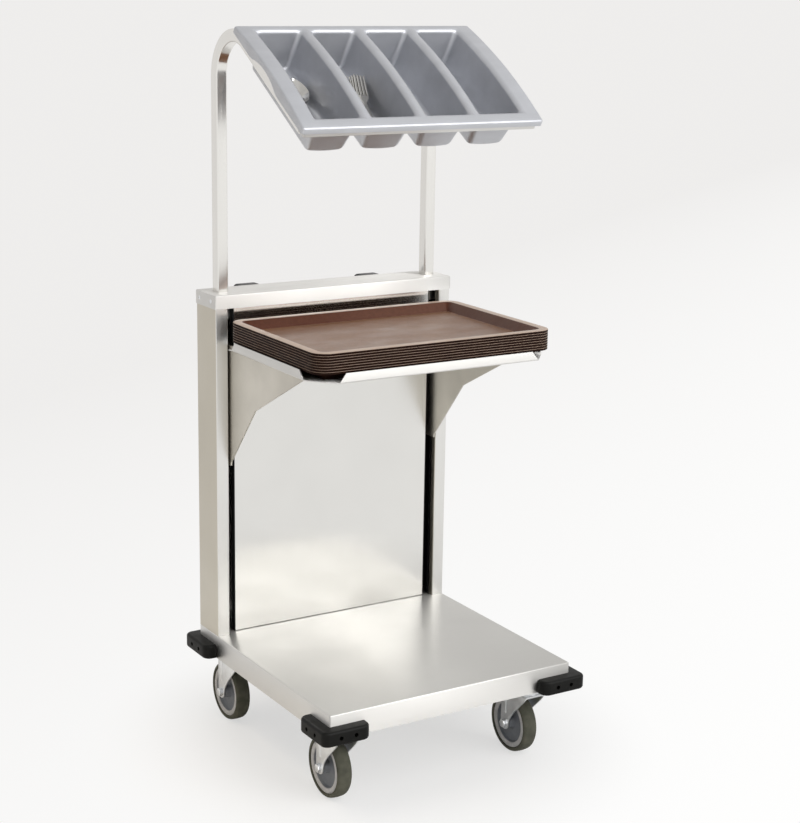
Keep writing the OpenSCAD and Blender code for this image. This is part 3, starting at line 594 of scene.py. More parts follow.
    def settle(self, body: str, finish: bpy.types.Material, slot: str, *nodes: str) -> "Piece":
        """Dresses the piece, lets it ride on a body and stand for CAD nodes.

        Args:
            body: Body that it moves with.
            finish: Its material.
            slot: Material slot; not used.
            nodes: CAD nodes that it stands for.

        Returns:
            The piece.
        """
        self.obj.data.materials.clear()
        self.obj.data.materials.append(finish)
        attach(self.obj, body)
        if nodes:
            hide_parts(*nodes)
        LOG.info("%s: %d faces on %s", self.obj.name, len(self.obj.data.polygons), body)
        return self

    def also(self, finish: bpy.types.Material, test: Test) -> "Piece":
        """Gives another finish to the faces that pass a test.

        Args:
            finish: The other material.
            test: Test on a face's middle and normal.

        Returns:
            The piece.
        """
        materials = self.obj.data.materials
        materials.append(finish)
        for face in self.obj.data.polygons:
            if test(face.center, face.normal):
                face.material_index = len(materials) - 1
        return self


class Nodes:
    """A node tree, with short calls for its usual nodes."""

    def __init__(self, tree: bpy.types.NodeTree) -> None:
        """Takes a tree to work on."""
        self.tree = tree

    def feed(self, socket: bpy.types.NodeSocket, value: object) -> None:
        """Links a socket to a source or sets its value.

        Args:
            socket: The socket.
            value: Output of a node, a number or a colour.
        """
        if isinstance(value, bpy.types.NodeSocket):
            self.tree.links.new(value, socket)
        else:
            socket.default_value = value

    def fill(self, node: bpy.types.Node, **sockets: object) -> None:
        """Feeds sockets of a node by name, with _ for a blank."""
        for key, value in sockets.items():
            self.feed(node.inputs[key.replace("_", " ")], value)

    def node(self, kind: str, **sockets: object) -> bpy.types.Node:
        """Adds a node and feeds its sockets.

        Args:
            kind: Type of the node.
            sockets: What its sockets get, by name.

        Returns:
            The node.
        """
        node = self.tree.nodes.new("ShaderNode" + kind)
        self.fill(node, **sockets)
        return node

    def row(self, node: bpy.types.Node, *values: object) -> bpy.types.Node:
        """Feeds the sockets of a node in their order.

        Args:
            node: The node.
            values: What the sockets get.

        Returns:
            The node.
        """
        for socket, value in zip(node.inputs, values):
            self.feed(socket, value)
        return node

    def reckon(self, kind: str, operation: str, *values: object) -> bpy.types.NodeSocket:
        """Number that a Math or VectorMath node works out.

        Args:
            kind: Type of the node.
            operation: What it works out.
            values: What it takes.

        Returns:
            The number.
        """
        node = self.node(kind)
        node.operation = operation
        return self.row(node, *values).outputs["Value"]

    def mix(self, factor: object, first: object, second: object) -> bpy.types.NodeSocket:
        """Mix of two shaders."""
        return self.row(self.node("MixShader"), factor, first, second).outputs["Shader"]

    def blend(self, factor: object, first: object, second: object) -> bpy.types.NodeSocket:
        """Mix of two colours.

        Args:
            factor: Share of the second.
            first: First colour.
            second: Second colour.

        Returns:
            The mixed colour.
        """
        node = self.node("Mix")
        node.data_type = "RGBA"
        self.fill(node, Factor=factor, A=first, B=second)
        return node.outputs["Result"]


class Sheet(Nodes):
    """One material with a principled shader."""

    def __init__(self, name: str) -> None:
        """Starts the material.

        Args:
            name: Its name.
        """
        self.material = bpy.data.materials.new(name)
        self.material.use_nodes = True
        super().__init__(self.material.node_tree)
        self.shader = self.tree.nodes["Principled BSDF"]

    def set(self, **sockets: object) -> None:
        """Feeds sockets of the shader."""
        self.fill(self.shader, **sockets)

    def place(self, scale: Point = (1, 1, 1)) -> bpy.types.NodeSocket:
        """Object coordinates at a scale."""
        spot = self.node("TexCoord").outputs["Object"]
        return self.node("Mapping", Vector=spot, Scale=scale).outputs["Vector"]

    def noise(
        self, scale: float, detail: float, stretch: Point = (1, 1, 1)
    ) -> bpy.types.NodeSocket:
        """Soft noise between 0 and 1, on object coordinates."""
        spot = self.place(stretch)
        return self.node("TexNoise", Vector=spot, Scale=scale, Detail=detail).outputs["Fac"]

    def span(self, value: bpy.types.NodeSocket, low: float, high: float) -> bpy.types.NodeSocket:
        """Noise spread between two numbers."""
        limits = {"From_Min": 0.3, "From_Max": 0.7, "To_Min": low, "To_Max": high}
        return self.node("MapRange", Value=value, **limits).outputs["Result"]

    def mark(self, name: str) -> bpy.types.NodeSocket:
        """A mark on the mesh.

        Args:
            name: Name of the mark.

        Returns:
            1 where the mesh has the mark, and 0 elsewhere.
        """
        node = self.node("Attribute")
        node.attribute_name = name
        return node.outputs["Fac"]

    def bump(self, height: bpy.types.NodeSocket, strength: float, distance: float) -> None:
        """Bump on the shader from a height."""
        node = self.node("Bump", Height=height, Strength=strength, Distance=distance)
        self.set(Normal=node.outputs["Normal"])


def shade(colour: Point, factor: float = 1.0) -> tuple[float, float, float, float]:
    """A colour made lighter or darker, with full alpha."""
    return (colour[0] * factor, colour[1] * factor, colour[2] * factor, 1.0)


@dataclass(frozen=True)
class Steel:
    """Brushed or bright stainless sheet."""

    name: str
    colour: Triple
    rough: float
    grain: Grain
    streak: float = 0.04
    stretch: float = 0.6
    stain: float = 0.35
    line_rough: float = 0.035

    def build(self) -> bpy.types.Material:
        """Brushing, soft smears and fine scratches.

        Returns:
            The material.
        """
        s = Sheet(self.name)
        lines = s.noise(scale=3.0, detail=4.0, stretch=self.grain.value)
        smears = s.noise(scale=7.0, detail=4.0)
        dark, light = shade(self.colour, 1 - self.streak), shade(self.colour, 1 + self.streak)
        stained = shade(self.colour, 1 - self.stain / 5)
        colour = s.blend(s.span(smears, 0.0, self.stain), s.blend(lines, dark, light), stained)
        scratched = s.span(lines, -self.line_rough, self.line_rough)
        smeared = s.span(smears, self.rough * 0.9, self.rough * 1.15)
        across = s.node("Tangent")
        across.direction_type = "RADIAL"
        across.axis = self.grain.name[-1]
        s.set(Base_Color=colour, Metallic=1.0, Anisotropic=self.stretch)
        s.set(Roughness=s.reckon("Math", "ADD", scratched, smeared))
        s.set(Tangent=across.outputs["Tangent"])
        s.bump(lines, strength=0.05, distance=0.0002)
        return s.material


@dataclass(frozen=True)
class Plate:
    """Plated or polished pressing with a cloudy bright skin."""

    name: str
    colour: Triple
    rough: float

    def build(self) -> bpy.types.Material:
        """Cloudy plating with small specks.

        Returns:
            The material.
        """
        s = Sheet(self.name)
        clouds = s.noise(scale=60.0, detail=5.0)
        specks = s.noise(scale=900.0, detail=2.0)
        dark, light = shade(self.colour, 0.92), shade(self.colour, 1.06)
        s.set(Base_Color=s.blend(s.span(clouds, 0.0, 1.0), dark, light), Metallic=1.0)
        s.set(Roughness=s.span(clouds, self.rough * 0.85, self.rough * 1.2))
        s.bump(specks, strength=0.08, distance=0.0002)
        return s.material


@dataclass(frozen=True)
class Plastic:
    """Moulded plastic with a fine grain and faint flow marks."""

    name: str
    colour: Triple
    rough: float
    grain: float = 900.0
    depth: float = 0.1
    vary: float = 0.05
    flake: float = 0.0

    def build(self) -> bpy.types.Material:
        """Grain, flow marks and rubbed spots.

        Returns:
            The material.
        """
        s = Sheet(self.name)
        flow = s.noise(scale=4.0, detail=4.0, stretch=(3.0, 9.0, 9.0))
        grain = s.noise(scale=self.grain, detail=2.0)
        rubs = s.noise(scale=22.0, detail=5.0)
        dark, light = shade(self.colour, 1 - self.vary), shade(self.colour, 1 + self.vary)
        s.set(Base_Color=s.blend(s.span(flow, 0.0, 1.0), dark, light), Metallic=self.flake)
        s.set(Roughness=s.span(rubs, self.rough * 0.85, self.rough * 1.2))
        s.bump(grain, strength=self.depth, distance=0.0003)
        return s.material


@dataclass(frozen=True)
class Rubber:
    """Matt rubber with dusty patches."""

    name: str
    colour: Triple
    dust: Triple
    rough: float
    amount: float
    specular: float

    def build(self) -> bpy.types.Material:
        """Dust in soft patches and a fine pebble.

        Returns:
            The material.
        """
        s = Sheet(self.name)
        patches = s.noise(scale=45.0, detail=6.0)
        pebble = s.noise(scale=1400.0, detail=2.0)
        dusty = s.span(patches, 0.0, self.amount)
        s.set(Base_Color=s.blend(dusty, shade(self.colour), shade(self.dust)))
        s.set(Roughness=s.span(patches, self.rough * 0.9, min(1.0, self.rough * 1.15)))
        s.set(Specular_IOR_Level=self.specular)
        s.bump(pebble, strength=0.25, distance=0.0003)
        return s.material


@dataclass(frozen=True)
class Hub:
    """Wheel plastic with painted shade in its dish and painted light on its ring, read from the
    ring mark on the mesh.
    """

    name: str
    dish: Triple
    ring: Triple
    rough: float

    def build(self) -> bpy.types.Material:
        """Dish darkened as painted shade and ring lightened as painted light, with scuffs.

        Returns:
            The material.
        """
        s = Sheet(self.name)
        scuffs = s.noise(scale=120.0, detail=5.0)
        grain = s.noise(scale=1100.0, detail=2.0)
        colour = s.blend(s.mark(LIT_RING_MARK), shade(self.dish), shade(self.ring))
        s.set(Base_Color=s.blend(s.span(scuffs, 0.0, 0.3), colour, shade(self.dish, 0.8)))
        s.set(Roughness=s.span(scuffs, self.rough * 0.85, self.rough * 1.2))
        s.bump(grain, strength=0.1, distance=0.0003)
        return s.material


@dataclass(frozen=True)
class Laminate:
    """Brown tray laminate with a faint fibre and a rubbed sheen."""

    name: str
    colour: Triple
    fibre: Triple
    worn: Triple
    rough: float
    specular: float = 0.48
    sheen: Triple = (1.0, 0.7, 0.52)

    def build(self) -> bpy.types.Material:
        """Fibres, mottling, a pale rim that is partly wear and partly painted sheen, and a soft
        sheen.

        Returns:
            The material.
        """
        s = Sheet(self.name)
        fibres = s.noise(scale=3.0, detail=5.0, stretch=(30.0, 260.0, 260.0))
        mottle = s.noise(scale=150.0, detail=2.0)
        rubs = s.noise(scale=3.0, detail=4.0, stretch=(3.0, 6.0, 3.0))
        colour = s.blend(s.span(fibres, 0.0, 1.0), shade(self.colour), shade(self.fibre))
        colour = s.blend(s.span(mottle, 0.0, 0.45), colour, shade(self.colour, 0.6))
        # pale rim colour: partly wear, partly painted sheen of light on the rim
        pale = s.blend(mottle, shade(self.worn), shade(self.worn, 0.8))
        s.set(Base_Color=s.blend(s.mark(RIM_MARK), colour, pale))
        s.set(Roughness=s.span(rubs, self.rough * 0.8, self.rough * 1.25))
        s.set(Specular_IOR_Level=self.specular, Specular_Tint=shade(self.sheen))
        s.bump(mottle, strength=0.03, distance=0.0004)
        return s.material


Finish = Steel | Plate | Plastic | Rubber | Hub | Laminate
SATIN = (0.675, 0.663, 0.64)
PALE_STEEL = (0.75, 0.74, 0.715)
WORN_AND_SHEEN_RIM = (0.66, 0.5, 0.39)
KINDS: tuple[Finish, ...] = (
    Steel("satin_upright", PALE_STEEL, 0.35, Grain.ALONG_Z),
    # darker, warmer copy of the upright steel for the channels' side faces: painted shade
    Steel("side_steel", (0.595, 0.555, 0.475), 0.35, Grain.ALONG_Z),
    # darker copy of the level satin steel for the deck's top: painted shade
    Steel("deck_steel", (0.555, 0.546, 0.522), 0.37, Grain.ALONG_X, stretch=0.9),
    Steel("satin_level", SATIN, 0.42, Grain.ALONG_X, stretch=0.9),
    Steel("satin_depth", SATIN, 0.35, Grain.ALONG_Y),
    Steel("tube_steel", (0.79, 0.775, 0.745), 0.2, Grain.ALONG_Z),
    Steel("raw_plate", (0.68, 0.645, 0.575), 0.42, Grain.ALONG_Z, 0.06, 0.3, 0.9),
    Steel("bright_panel", PALE_STEEL, 0.2, Grain.ALONG_Z, streak=0.02, stretch=0.95),
    Plate("zinc", (0.82, 0.83, 0.84), 0.34),
    Plate("cutlery_polish", (0.48, 0.47, 0.45), 0.12),
    Rubber("bumper_rubber", (0.003, 0.003, 0.0026), (0.009, 0.009, 0.0075), 0.45, 0.5, 0.16),
    Rubber("tyre_rubber", (0.06, 0.061, 0.044), (0.135, 0.132, 0.1), 0.75, 0.8, 0.3),
    Rubber("edge_rubber", (0.006, 0.006, 0.006), (0.012, 0.012, 0.012), 0.6, 0.4, 0.2),
    # hub: the dark bluish dish is painted shade in the hollow, the pale ring painted light
    Hub("hub_plastic", (0.2, 0.213, 0.235), (0.62, 0.605, 0.6), 0.4),
    Plastic("bin_plastic", (0.53, 0.539, 0.568), 0.335, 110.0, 0.02, 0.04, flake=0.55),
    Plastic("black_plastic", (0.015, 0.015, 0.015), 0.45),
    Plastic("black_paint", (0.02, 0.02, 0.02), 0.4, grain=500.0, depth=0.05),
    Laminate("tray_laminate", (0.09, 0.026, 0.015), (0.11, 0.036, 0.021), WORN_AND_SHEEN_RIM, 0.35),
    # lighter copy of the laminate for the tray floors: painted sheen
    Laminate("tray_floor", (0.235, 0.108, 0.052), (0.265, 0.128, 0.066), WORN_AND_SHEEN_RIM, 0.35),
    # near-black for the trays' matt outer edges, and on their undersides painted shade
    Rubber("tray_edge", (0.013, 0.0045, 0.003), (0.026, 0.011, 0.006), 0.5, 0.6, 0.05),
)


@dataclass
class Finishes:
    """All materials of the trolley, made once."""

    made: dict[str, bpy.types.Material] = field(default_factory=dict)

    def build(self) -> "Finishes":
        """Makes every finish and keeps it by name."""
        self.made.update({kind.name: kind.build() for kind in KINDS})
        return self

    def __getitem__(self, name: str) -> bpy.types.Material:
        """A finish by its name."""
        return self.made[name]

    def dress(self, nodes: NodeMap, finish: str, *names: str) -> None:
        """Puts a finish on CAD nodes that keep their own shape.

        Args:
            nodes: The CAD nodes by name.
            finish: Name of the finish.
            names: Names of the nodes.
        """
        for name in names:
            nodes[name].data.materials.clear()
            nodes[name].data.materials.append(self[finish])
            LOG.info("%s keeps its solid, in %s", name, finish)


@dataclass(frozen=True)
class Lamp:
    """Soft box that looks at a point."""

    name: str
    place: Triple
    target: Triple
    size: Pair
    power: float
    colour: Triple = (1.0, 1.0, 1.0)
    spread: float = 180.0
    mirrored: bool = True

    def build(self) -> None:
        """Adds the lamp, which polished faces show only where it is mirrored."""
        data = bpy.data.lights.new(self.name, "AREA")
        data.shape = "RECTANGLE"
        data.size, data.size_y = self.size
        data.energy = self.power
        data.color = self.colour
        data.spread = math.radians(self.spread)
        lamp = bpy.data.objects.new(self.name, data)
        lamp.visible_glossy = self.mirrored
        bpy.context.collection.objects.link(lamp)
        look = (Vector(self.target) - Vector(self.place)).to_track_quat("-Z", "Y")
        lamp.matrix_world = Matrix.Translation(self.place) @ look.to_matrix().to_4x4()


@dataclass
class Studio:
    """Camera, pale floor and soft light.

    floor_seen and floor_mirrored hold the distances at which the floor starts and ends to fade,
    and the share of background that it starts with.
    """

    eye: Triple = (-1.80725, -2.99986, 1.56345)
    yaw: float = 31.76
    pitch: float = 13.79
    roll: float = 0.97
    lens: float = 80.61
    sensor: float = 36.0
    clip_end: float = 200.0
    floor_size: float = 60.0
    floor_seen: Triple = (0.25, 0.62, 0.62)
    floor_mirrored: Triple = (0.5, 1.1, 0.0)
    floor_colour: Triple = (0.9, 0.895, 0.885)
    backdrop: Triple = (0.86, 0.85, 0.84)
    foreground: Triple = (1.0, 1.0, 0.995)
    ambient: float = 0.32
    lit_way: Triple = (0.53, -0.85, 0.0)
    world_run: Pair = (-0.15, 0.15)
    floor_run: Pair = (-2.5, 1.0)
    lamps: tuple[Lamp, ...] = (
        Lamp("key", (1.05, -3.45, 3.3), (0.0, -0.1, 0.7), (4.2, 3.2), 122.0),
        Lamp("card", (2.7, -4.6, 1.75), (0.0, 0.0, 0.6), (2.4, 1.2), 26.0),
        Lamp(
            "fill", (-2.0, 0.2, 2.2), (-2.0, 0.2, 0.0), (2.0, 2.0), 24.0, (1.0, 0.88, 0.7),
            spread=80.0, mirrored=False,
        ),
    )

    def build(self) -> None:
        """Sets up the whole studio."""
        bpy.context.scene.view_settings.view_transform = "Standard"
        self.camera()
        self.world()
        self.floor()
        for lamp in self.lamps:
            lamp.build()

    def camera(self) -> None:
        """Camera at the viewing angle of the photograph."""
        yaw, pitch, roll = (math.radians(a) for a in (self.yaw, self.pitch, self.roll))
        flat = math.cos(pitch)
        ahead = Vector((math.sin(yaw) * flat, math.cos(yaw) * flat, -math.sin(pitch)))
        level = Vector((math.cos(yaw), -math.sin(yaw), 0))
        above = level.cross(ahead)
        right = math.cos(roll) * level + math.sin(roll) * above
        up = -math.sin(roll) * level + math.cos(roll) * above
        data = bpy.data.cameras.new("view")
        data.sensor_fit = "HORIZONTAL"
        data.sensor_width = self.sensor
        data.lens = self.lens
        data.clip_end = self.clip_end
        camera = bpy.data.objects.new("view", data)
        bpy.context.collection.objects.link(camera)
        turn = Matrix((right, up, -ahead)).transposed().to_4x4()
        camera.matrix_world = Matrix.Translation(self.eye) @ turn
        bpy.context.scene.camera = camera

    def tone(self, nodes: Nodes, spot: bpy.types.NodeSocket, run: Pair) -> bpy.types.NodeSocket:
        """Colour that goes from the backdrop to the foreground on the lit way.

        Args:
            nodes: Node tree that it is for.
            spot: Place or direction.
            run: Distances on the way at which it starts and ends.

        Returns:
            The colour.
        """
        along = nodes.reckon("VectorMath", "DOT_PRODUCT", spot, self.lit_way)
        share = nodes.node("MapRange", Value=along, From_Min=run[0], From_Max=run[1])
        return nodes.blend(share.outputs["Result"], shade(self.backdrop), shade(self.foreground))

    def world(self) -> None:
        """Even ambient light, and a pale background for the rays that see it."""
        world = bpy.data.worlds.new("studio")
        bpy.context.scene.world = world
        world.use_nodes = True
        nodes = Nodes(world.node_tree)
        plain = nodes.tree.nodes["Background"]
        nodes.fill(plain, Color=(1, 1, 1, 1), Strength=self.ambient)
        way = nodes.node("TexCoord").outputs["Generated"]
        pale = nodes.node("Background", Color=self.tone(nodes, way, self.world_run))
        rays = nodes.node("LightPath").outputs
        seen = nodes.reckon("Math", "MAXIMUM", rays["Is Camera Ray"], rays["Is Glossy Ray"])
        seen = nodes.reckon("Math", "MAXIMUM", seen, rays["Is Transmission Ray"])
        both = nodes.mix(seen, plain.outputs[0], pale.outputs[0])
        nodes.fill(nodes.tree.nodes["World Output"], Surface=both)

    def floor(self) -> None:
        """Pale floor that fades into the background away from the trolley."""
        deselect()
        bpy.ops.mesh.primitive_plane_add(size=self.floor_size)
        floor = bpy.context.object
        floor.name = "floor"
        sheet = Sheet("floor_paper")
        speck = sheet.noise(scale=260.0, detail=4.0)
        pale = sheet.blend(speck, shade(self.floor_colour, 0.985), shade(self.floor_colour, 1.015))
        sheet.set(Base_Color=pale, Roughness=0.75, Specular_IOR_Level=0.2)
        spot = sheet.place()
        glow = sheet.node("Emission", Color=self.tone(sheet, spot, self.floor_run), Strength=1.0)
        reach = sheet.reckon("VectorMath", "LENGTH", spot)
        rays = sheet.node("LightPath").outputs
        shares = []
        fades = {"Is Camera Ray": self.floor_seen, "Is Glossy Ray": self.floor_mirrored}
        for ray, (near, far, least) in fades.items():
            fade = sheet.node("MapRange", Value=reach, From_Min=near, From_Max=far, To_Min=least)
            fade.interpolation_type = "SMOOTHSTEP"
            shares.append(sheet.reckon("Math", "MULTIPLY", fade.outputs["Result"], rays[ray]))
        most = sheet.reckon("Math", "MAXIMUM", *shares)
        both = sheet.mix(most, sheet.shader.outputs[0], glow.outputs[0])
        sheet.fill(sheet.tree.nodes["Material Output"], Surface=both)
        floor.data.materials.append(sheet.material)


@dataclass
class Platform:
    """Folded platform with its underframe and corner bumpers."""

    half: float = 0.2775
    front: float = -0.29825
    back: float = 0.26175
    top: float = 0.215
    low: float = 0.165
    sheet: float = 0.002
    corner: float = 0.003
    fold: float = 0.0022
    arm: float = 0.078
    out: float = 0.025
    bumper_low: float = 0.163
    bumper_high: float = 0.193
    outer_r: float = 0.015
    end_r: float = 0.017
    bend_steps: int = 8
    soft_r: float = 0.0055
    hole_r: float = 0.004
    hole_flare: float = 1.3
    hole_lip: float = 0.001
    hole_deep: float = 0.017
    holes: Pair = (0.012, 0.044)

    def build(self, nodes: NodeMap, finishes: Finishes) -> None:
        """Builds the platform and dresses what keeps its solid.

        Args:
            nodes: The CAD nodes by name.
            finishes: All finishes.
        """
        self.deck(finishes)
        self.bumpers(finishes)
        finishes.dress(nodes, "satin_level", "underframe")
        finishes.dress(nodes, "black_plastic", "bumper_screws")

    def deck(self, finishes: Finishes) -> None:
        """Folded deck, hollow from below.

        Args:
            finishes: All finishes.
        """
        low, high = (-self.half, self.front, self.low), (self.half, self.back, self.top)
        radii = (self.corner, self.fold)
        deck = Piece.folded("deck", low, high, self.sheet, radii, segments=3).smooth()
        deck.settle("trolley", finishes["deck_steel"], "satin_steel", "base_platform")
        # the skirts keep the lighter satin copies, so the top's darker tone and the front skirt's
        # lighter tone are painted shade and painted light on one sheet
        deck.also(finishes["satin_depth"], lambda c, n: abs(n.x) > FACING)
        deck.also(finishes["satin_level"], lambda c, n: abs(n.y) > FACING)

    def bumpers(self, finishes: Finishes) -> None:
        """Four bumpers, copied from the front left one.

        Args:
            finishes: All finishes.
        """
        first = self.bumper()
        mid = (self.front + self.back) / 2
        for corner in Corner:
            sx, sy = corner.value
            turn = Matrix.Diagonal((-sx, -sy, 1, 1))
            turn.translation = (0, mid + sy * mid, 0)
            copy = first.copy(f"bumper_{corner.tag}_soft", turn)
            node = f"bumper_{corner.tag}"
            copy.settle("trolley", finishes["bumper_rubber"], "bumper_rubber", node)
        first.remove()

    def bumper(self) -> Piece:
        """Angled bumper of the front left corner, with sunk holes.

        Returns:
            The piece, not yet dressed.
        """
        o, a, r, e = self.out, self.arm, self.outer_r, self.end_r
        plan = [(0, 0), (a, 0)] + arc((a - e, e - o), e, 0, -90, self.bend_steps)
        plan += arc((r - o, r - o), r, -90, -180, self.bend_steps)
        plan += arc((e - o, a - e), e, 180, 90, self.bend_steps) + [(0, a)]
        points = [(u - self.half, v + self.front, self.bumper_low) for u, v in plan]
        piece = Piece.line("bumper", points, True).faces(always)
        piece.extrude((0, 0, self.bumper_high - self.bumper_low)).weld()

        def outer(p: Vector, q: Vector) -> bool:
            """Whether a level edge lies outside the platform's sides."""
            u, v = (p + q).x / 2 + self.half, (p + q).y / 2 - self.front
            return abs(p.z - q.z) < TINY and (u < -TINY or v < -TINY)

        piece.edges(outer).bevel(self.soft_r, segments=5)
        level = (self.bumper_low + self.bumper_high) / 2
        b, deep = self.hole_r, self.hole_deep
        drill = [(0, -b), (b * self.hole_flare, -b), (b, self.hole_lip), (b, deep), (0, deep)]
        for hole in self.holes:
            ahead = (hole - self.half, self.front - o, level)
            aside = (-self.half - o, self.front + hole, level)
            for place, axis in ((ahead, ALONG), (aside, ACROSS)):
                piece.cut(Piece.lathe("drill", drill, place, axis, steps=24))
        return piece.smooth(angle=40)


@dataclass
class Casters:
    """Four swivel casters, modelled once about a swivel axis at the origin.

    Profiles are pairs of radius and height, and front_edge is the fork's edge as pairs of Y and Z.
    """

    swivel_x: float = 0.218
    swivel_y: Pair = (-0.23425, 0.19775)
    trail: float = 0.038
    axle_z: float = 0.0625
    plate_low: float = 0.161
    plate_high: float = 0.165
    plate_half: Pair = (0.042, 0.05)
    plate_r: float = 0.01
    plate_soft: float = 0.0006
    head_profile: Profile = (
        (0.006, 0.1512), (0.026, 0.1512), (0.029, 0.1522), (0.03, 0.1545),
        (0.03, 0.158), (0.029, 0.16), (0.027, 0.161), (0.006, 0.161),
    )
    pin_profile: Profile = (
        (0, 0.1317), (0.0082, 0.1317), (0.0095, 0.1322), (0.01, 0.1335), (0.01, 0.137),
        (0.0094, 0.1377), (0.006, 0.1377), (0.006, 0.1512), (0, 0.1512),
    )
    crown_low: float = 0.138
    crown_high: float = 0.142
    crown_front: float = -0.0322
    crown_back: float = 0.051
    front_edge: Profile = (
        (-0.0306, 0.1356), (-0.0262, 0.1302), (-0.0212, 0.1245), (-0.0137, 0.1170),
        (-0.0053, 0.1086), (0.0040, 0.0995), (0.0124, 0.0895), (0.0182, 0.0815), (0.0225, 0.0736),
    )
    fork_out: float = 0.024
    fork_in: float = 0.021
    leg_end: float = 0.013
    fork_fold: float = 0.005
    fold_run: float = 0.05
    fork_bend: float = 0.003
    fork_soft: float = 0.0005
    room_half: float = 0.1
    cup_profile: Profile = (
        (0.00605, 0.142), (0.0295, 0.142), (0.03, 0.144), (0.0296, 0.1475),
        (0.027, 0.1496), (0.024, 0.15), (0.00605, 0.15),
    )
    rib_sunk: float = 0.0008
    rib_out: float = 0.0012
    rib_half: float = 0.0045
    rib_low: float = 0.0852
    rib_high: float = 0.136
    rib_soft: float = 0.0011
    bolt_r: float = 0.005
    bolt_end: Profile = ((0.005, 0.0336), (0.0043, 0.0345), (0, 0.0345))
    washer: float = 0.0012
    washer_r: Pair = (0.0092, 0.0094)
    hexagon: float = 0.0065
    hexagon_r: float = 0.0092
    hexagon_soft: float = 0.0009
    hub_half: Profile = (
        (0.00505, 0.0198), (0.0100, 0.0200), (0.0122, 0.0192), (0.0130, 0.0175), (0.0134, 0.0085),
        (0.0150, 0.0064), (0.0180, 0.0056), (0.0300, 0.0050), (0.0375, 0.0052), (0.0405, 0.0066),
        (0.0418, 0.0092), (0.0425, 0.0118), (0.0432, 0.0132), (0.0446, 0.0139), (0.0512, 0.0140),
        (0.0526, 0.0134), (0.0530, 0.0120),
    )
    ring_r: float = 0.0428
    tyre_half: Profile = (
        (0.05315, 0.0138), (0.0540, 0.0151), (0.0556, 0.0159), (0.0574, 0.0158), (0.0592, 0.0149),
        (0.0607, 0.0132), (0.0616, 0.0108), (0.0621, 0.0075), (0.0624, 0.0035),
    )
    tyre_crown: Profile = ((0.0625, 0.0),)
    wheel_steps: int = 96

    def build(self, finishes: Finishes) -> None:
        """Models the parts of one caster and copies them to the corners.

        Args:
            finishes: All finishes.
        """
        parts = [
            ("caster_plate", self.plate(), "trolley", "zinc"),
            ("caster_fork", self.fork(), "caster_{}", "zinc"),
            ("caster_axle", self.axle(), "caster_{}", "zinc"),
            ("wheel_hub", self.hub(), "wheel_{}", "hub_plastic"),
            ("wheel_tyre", self.tyre(), "wheel_{}", "tyre_rubber"),
        ]
        for node, piece, body, finish in parts:
            for corner in Corner:
                sx, sy = corner.value
                shift = Matrix.Translation((sx * self.swivel_x, self.swivel_y[sy > 0], 0))
                copy = piece.copy(f"{node}_{corner.tag}_made", shift)
                ride = body.format(corner.tag)
                copy.settle(ride, finishes[finish], finish, f"{node}_{corner.tag}")
            piece.remove()

    @property
    def axle_mid(self) -> Triple:
        """Middle of the axle."""
        return (0, self.trail, self.axle_z)

    def plate(self) -> Piece:
        """Top plate with swivel head and kingpin.

        Returns:
            The piece, not yet dressed.
        """
        x, y = self.plate_half
        plate = Piece.block("plate", (-x, -y, self.plate_low), (x, y, self.plate_high))
        plate.edges(upright).bevel(self.plate_r, segments=6)
        plate.round_edges(self.plate_soft, segments=2)
        head = Piece.lathe("head", self.head_profile, ORIGIN, UP, steps=48)
        return plate.join(head, Piece.lathe("pin", self.pin_profile, ORIGIN, UP, steps=32)).smooth()

    def fork(self) -> Piece:
        """Pressed fork with crown, swept legs, ribs and swivel cup.

        Returns:
            The piece, not yet dressed.
        """
        end = arc((self.trail, self.axle_z), self.leg_end, 180, 360, steps=12)
        first, last = (self.crown_front, self.crown_high), (self.crown_back, self.crown_high)
        side = [first, *self.front_edge, *end, last]
        fork = Piece.line("fork", [(-self.fork_out, y, z) for y, z in side], True)
        fork.faces(always).extrude((2 * self.fork_out, 0, 0)).weld()
        reach = self.room_half
        corner = (self.fork_in, reach, self.crown_low)
        room = Piece.block("room", (-self.fork_in, -reach, 0), corner)
        roof, top = self.crown_low - TINY, self.crown_high - TINY
        room.edges(lambda a, b: min(a.z, b.z) > roof and abs(a.y - b.y) > TINY)
        fork.cut(room.bevel(self.fork_bend, segments=3))
        fork.edges(lambda a, b: min(a.z, b.z) > top and abs(a.y - b.y) > self.fold_run)
        fork.bevel(self.fork_fold, segments=4).round_edges(self.fork_soft, segments=2)
        near, far = self.trail - self.rib_half, self.trail + self.rib_half
        for sign in (-1, 1):
            sunk, out = self.fork_out - self.rib_sunk, self.fork_out + self.rib_out
            low, high = sorted((sign * sunk, sign * out))
            rib = Piece.block("rib", (low, near, self.rib_low), (high, far, self.rib_high))
            fork.join(rib.round_edges(self.rib_soft, segments=3))
        return fork.join(Piece.lathe("cup", self.cup_profile, ORIGIN, UP, steps=48)).smooth()

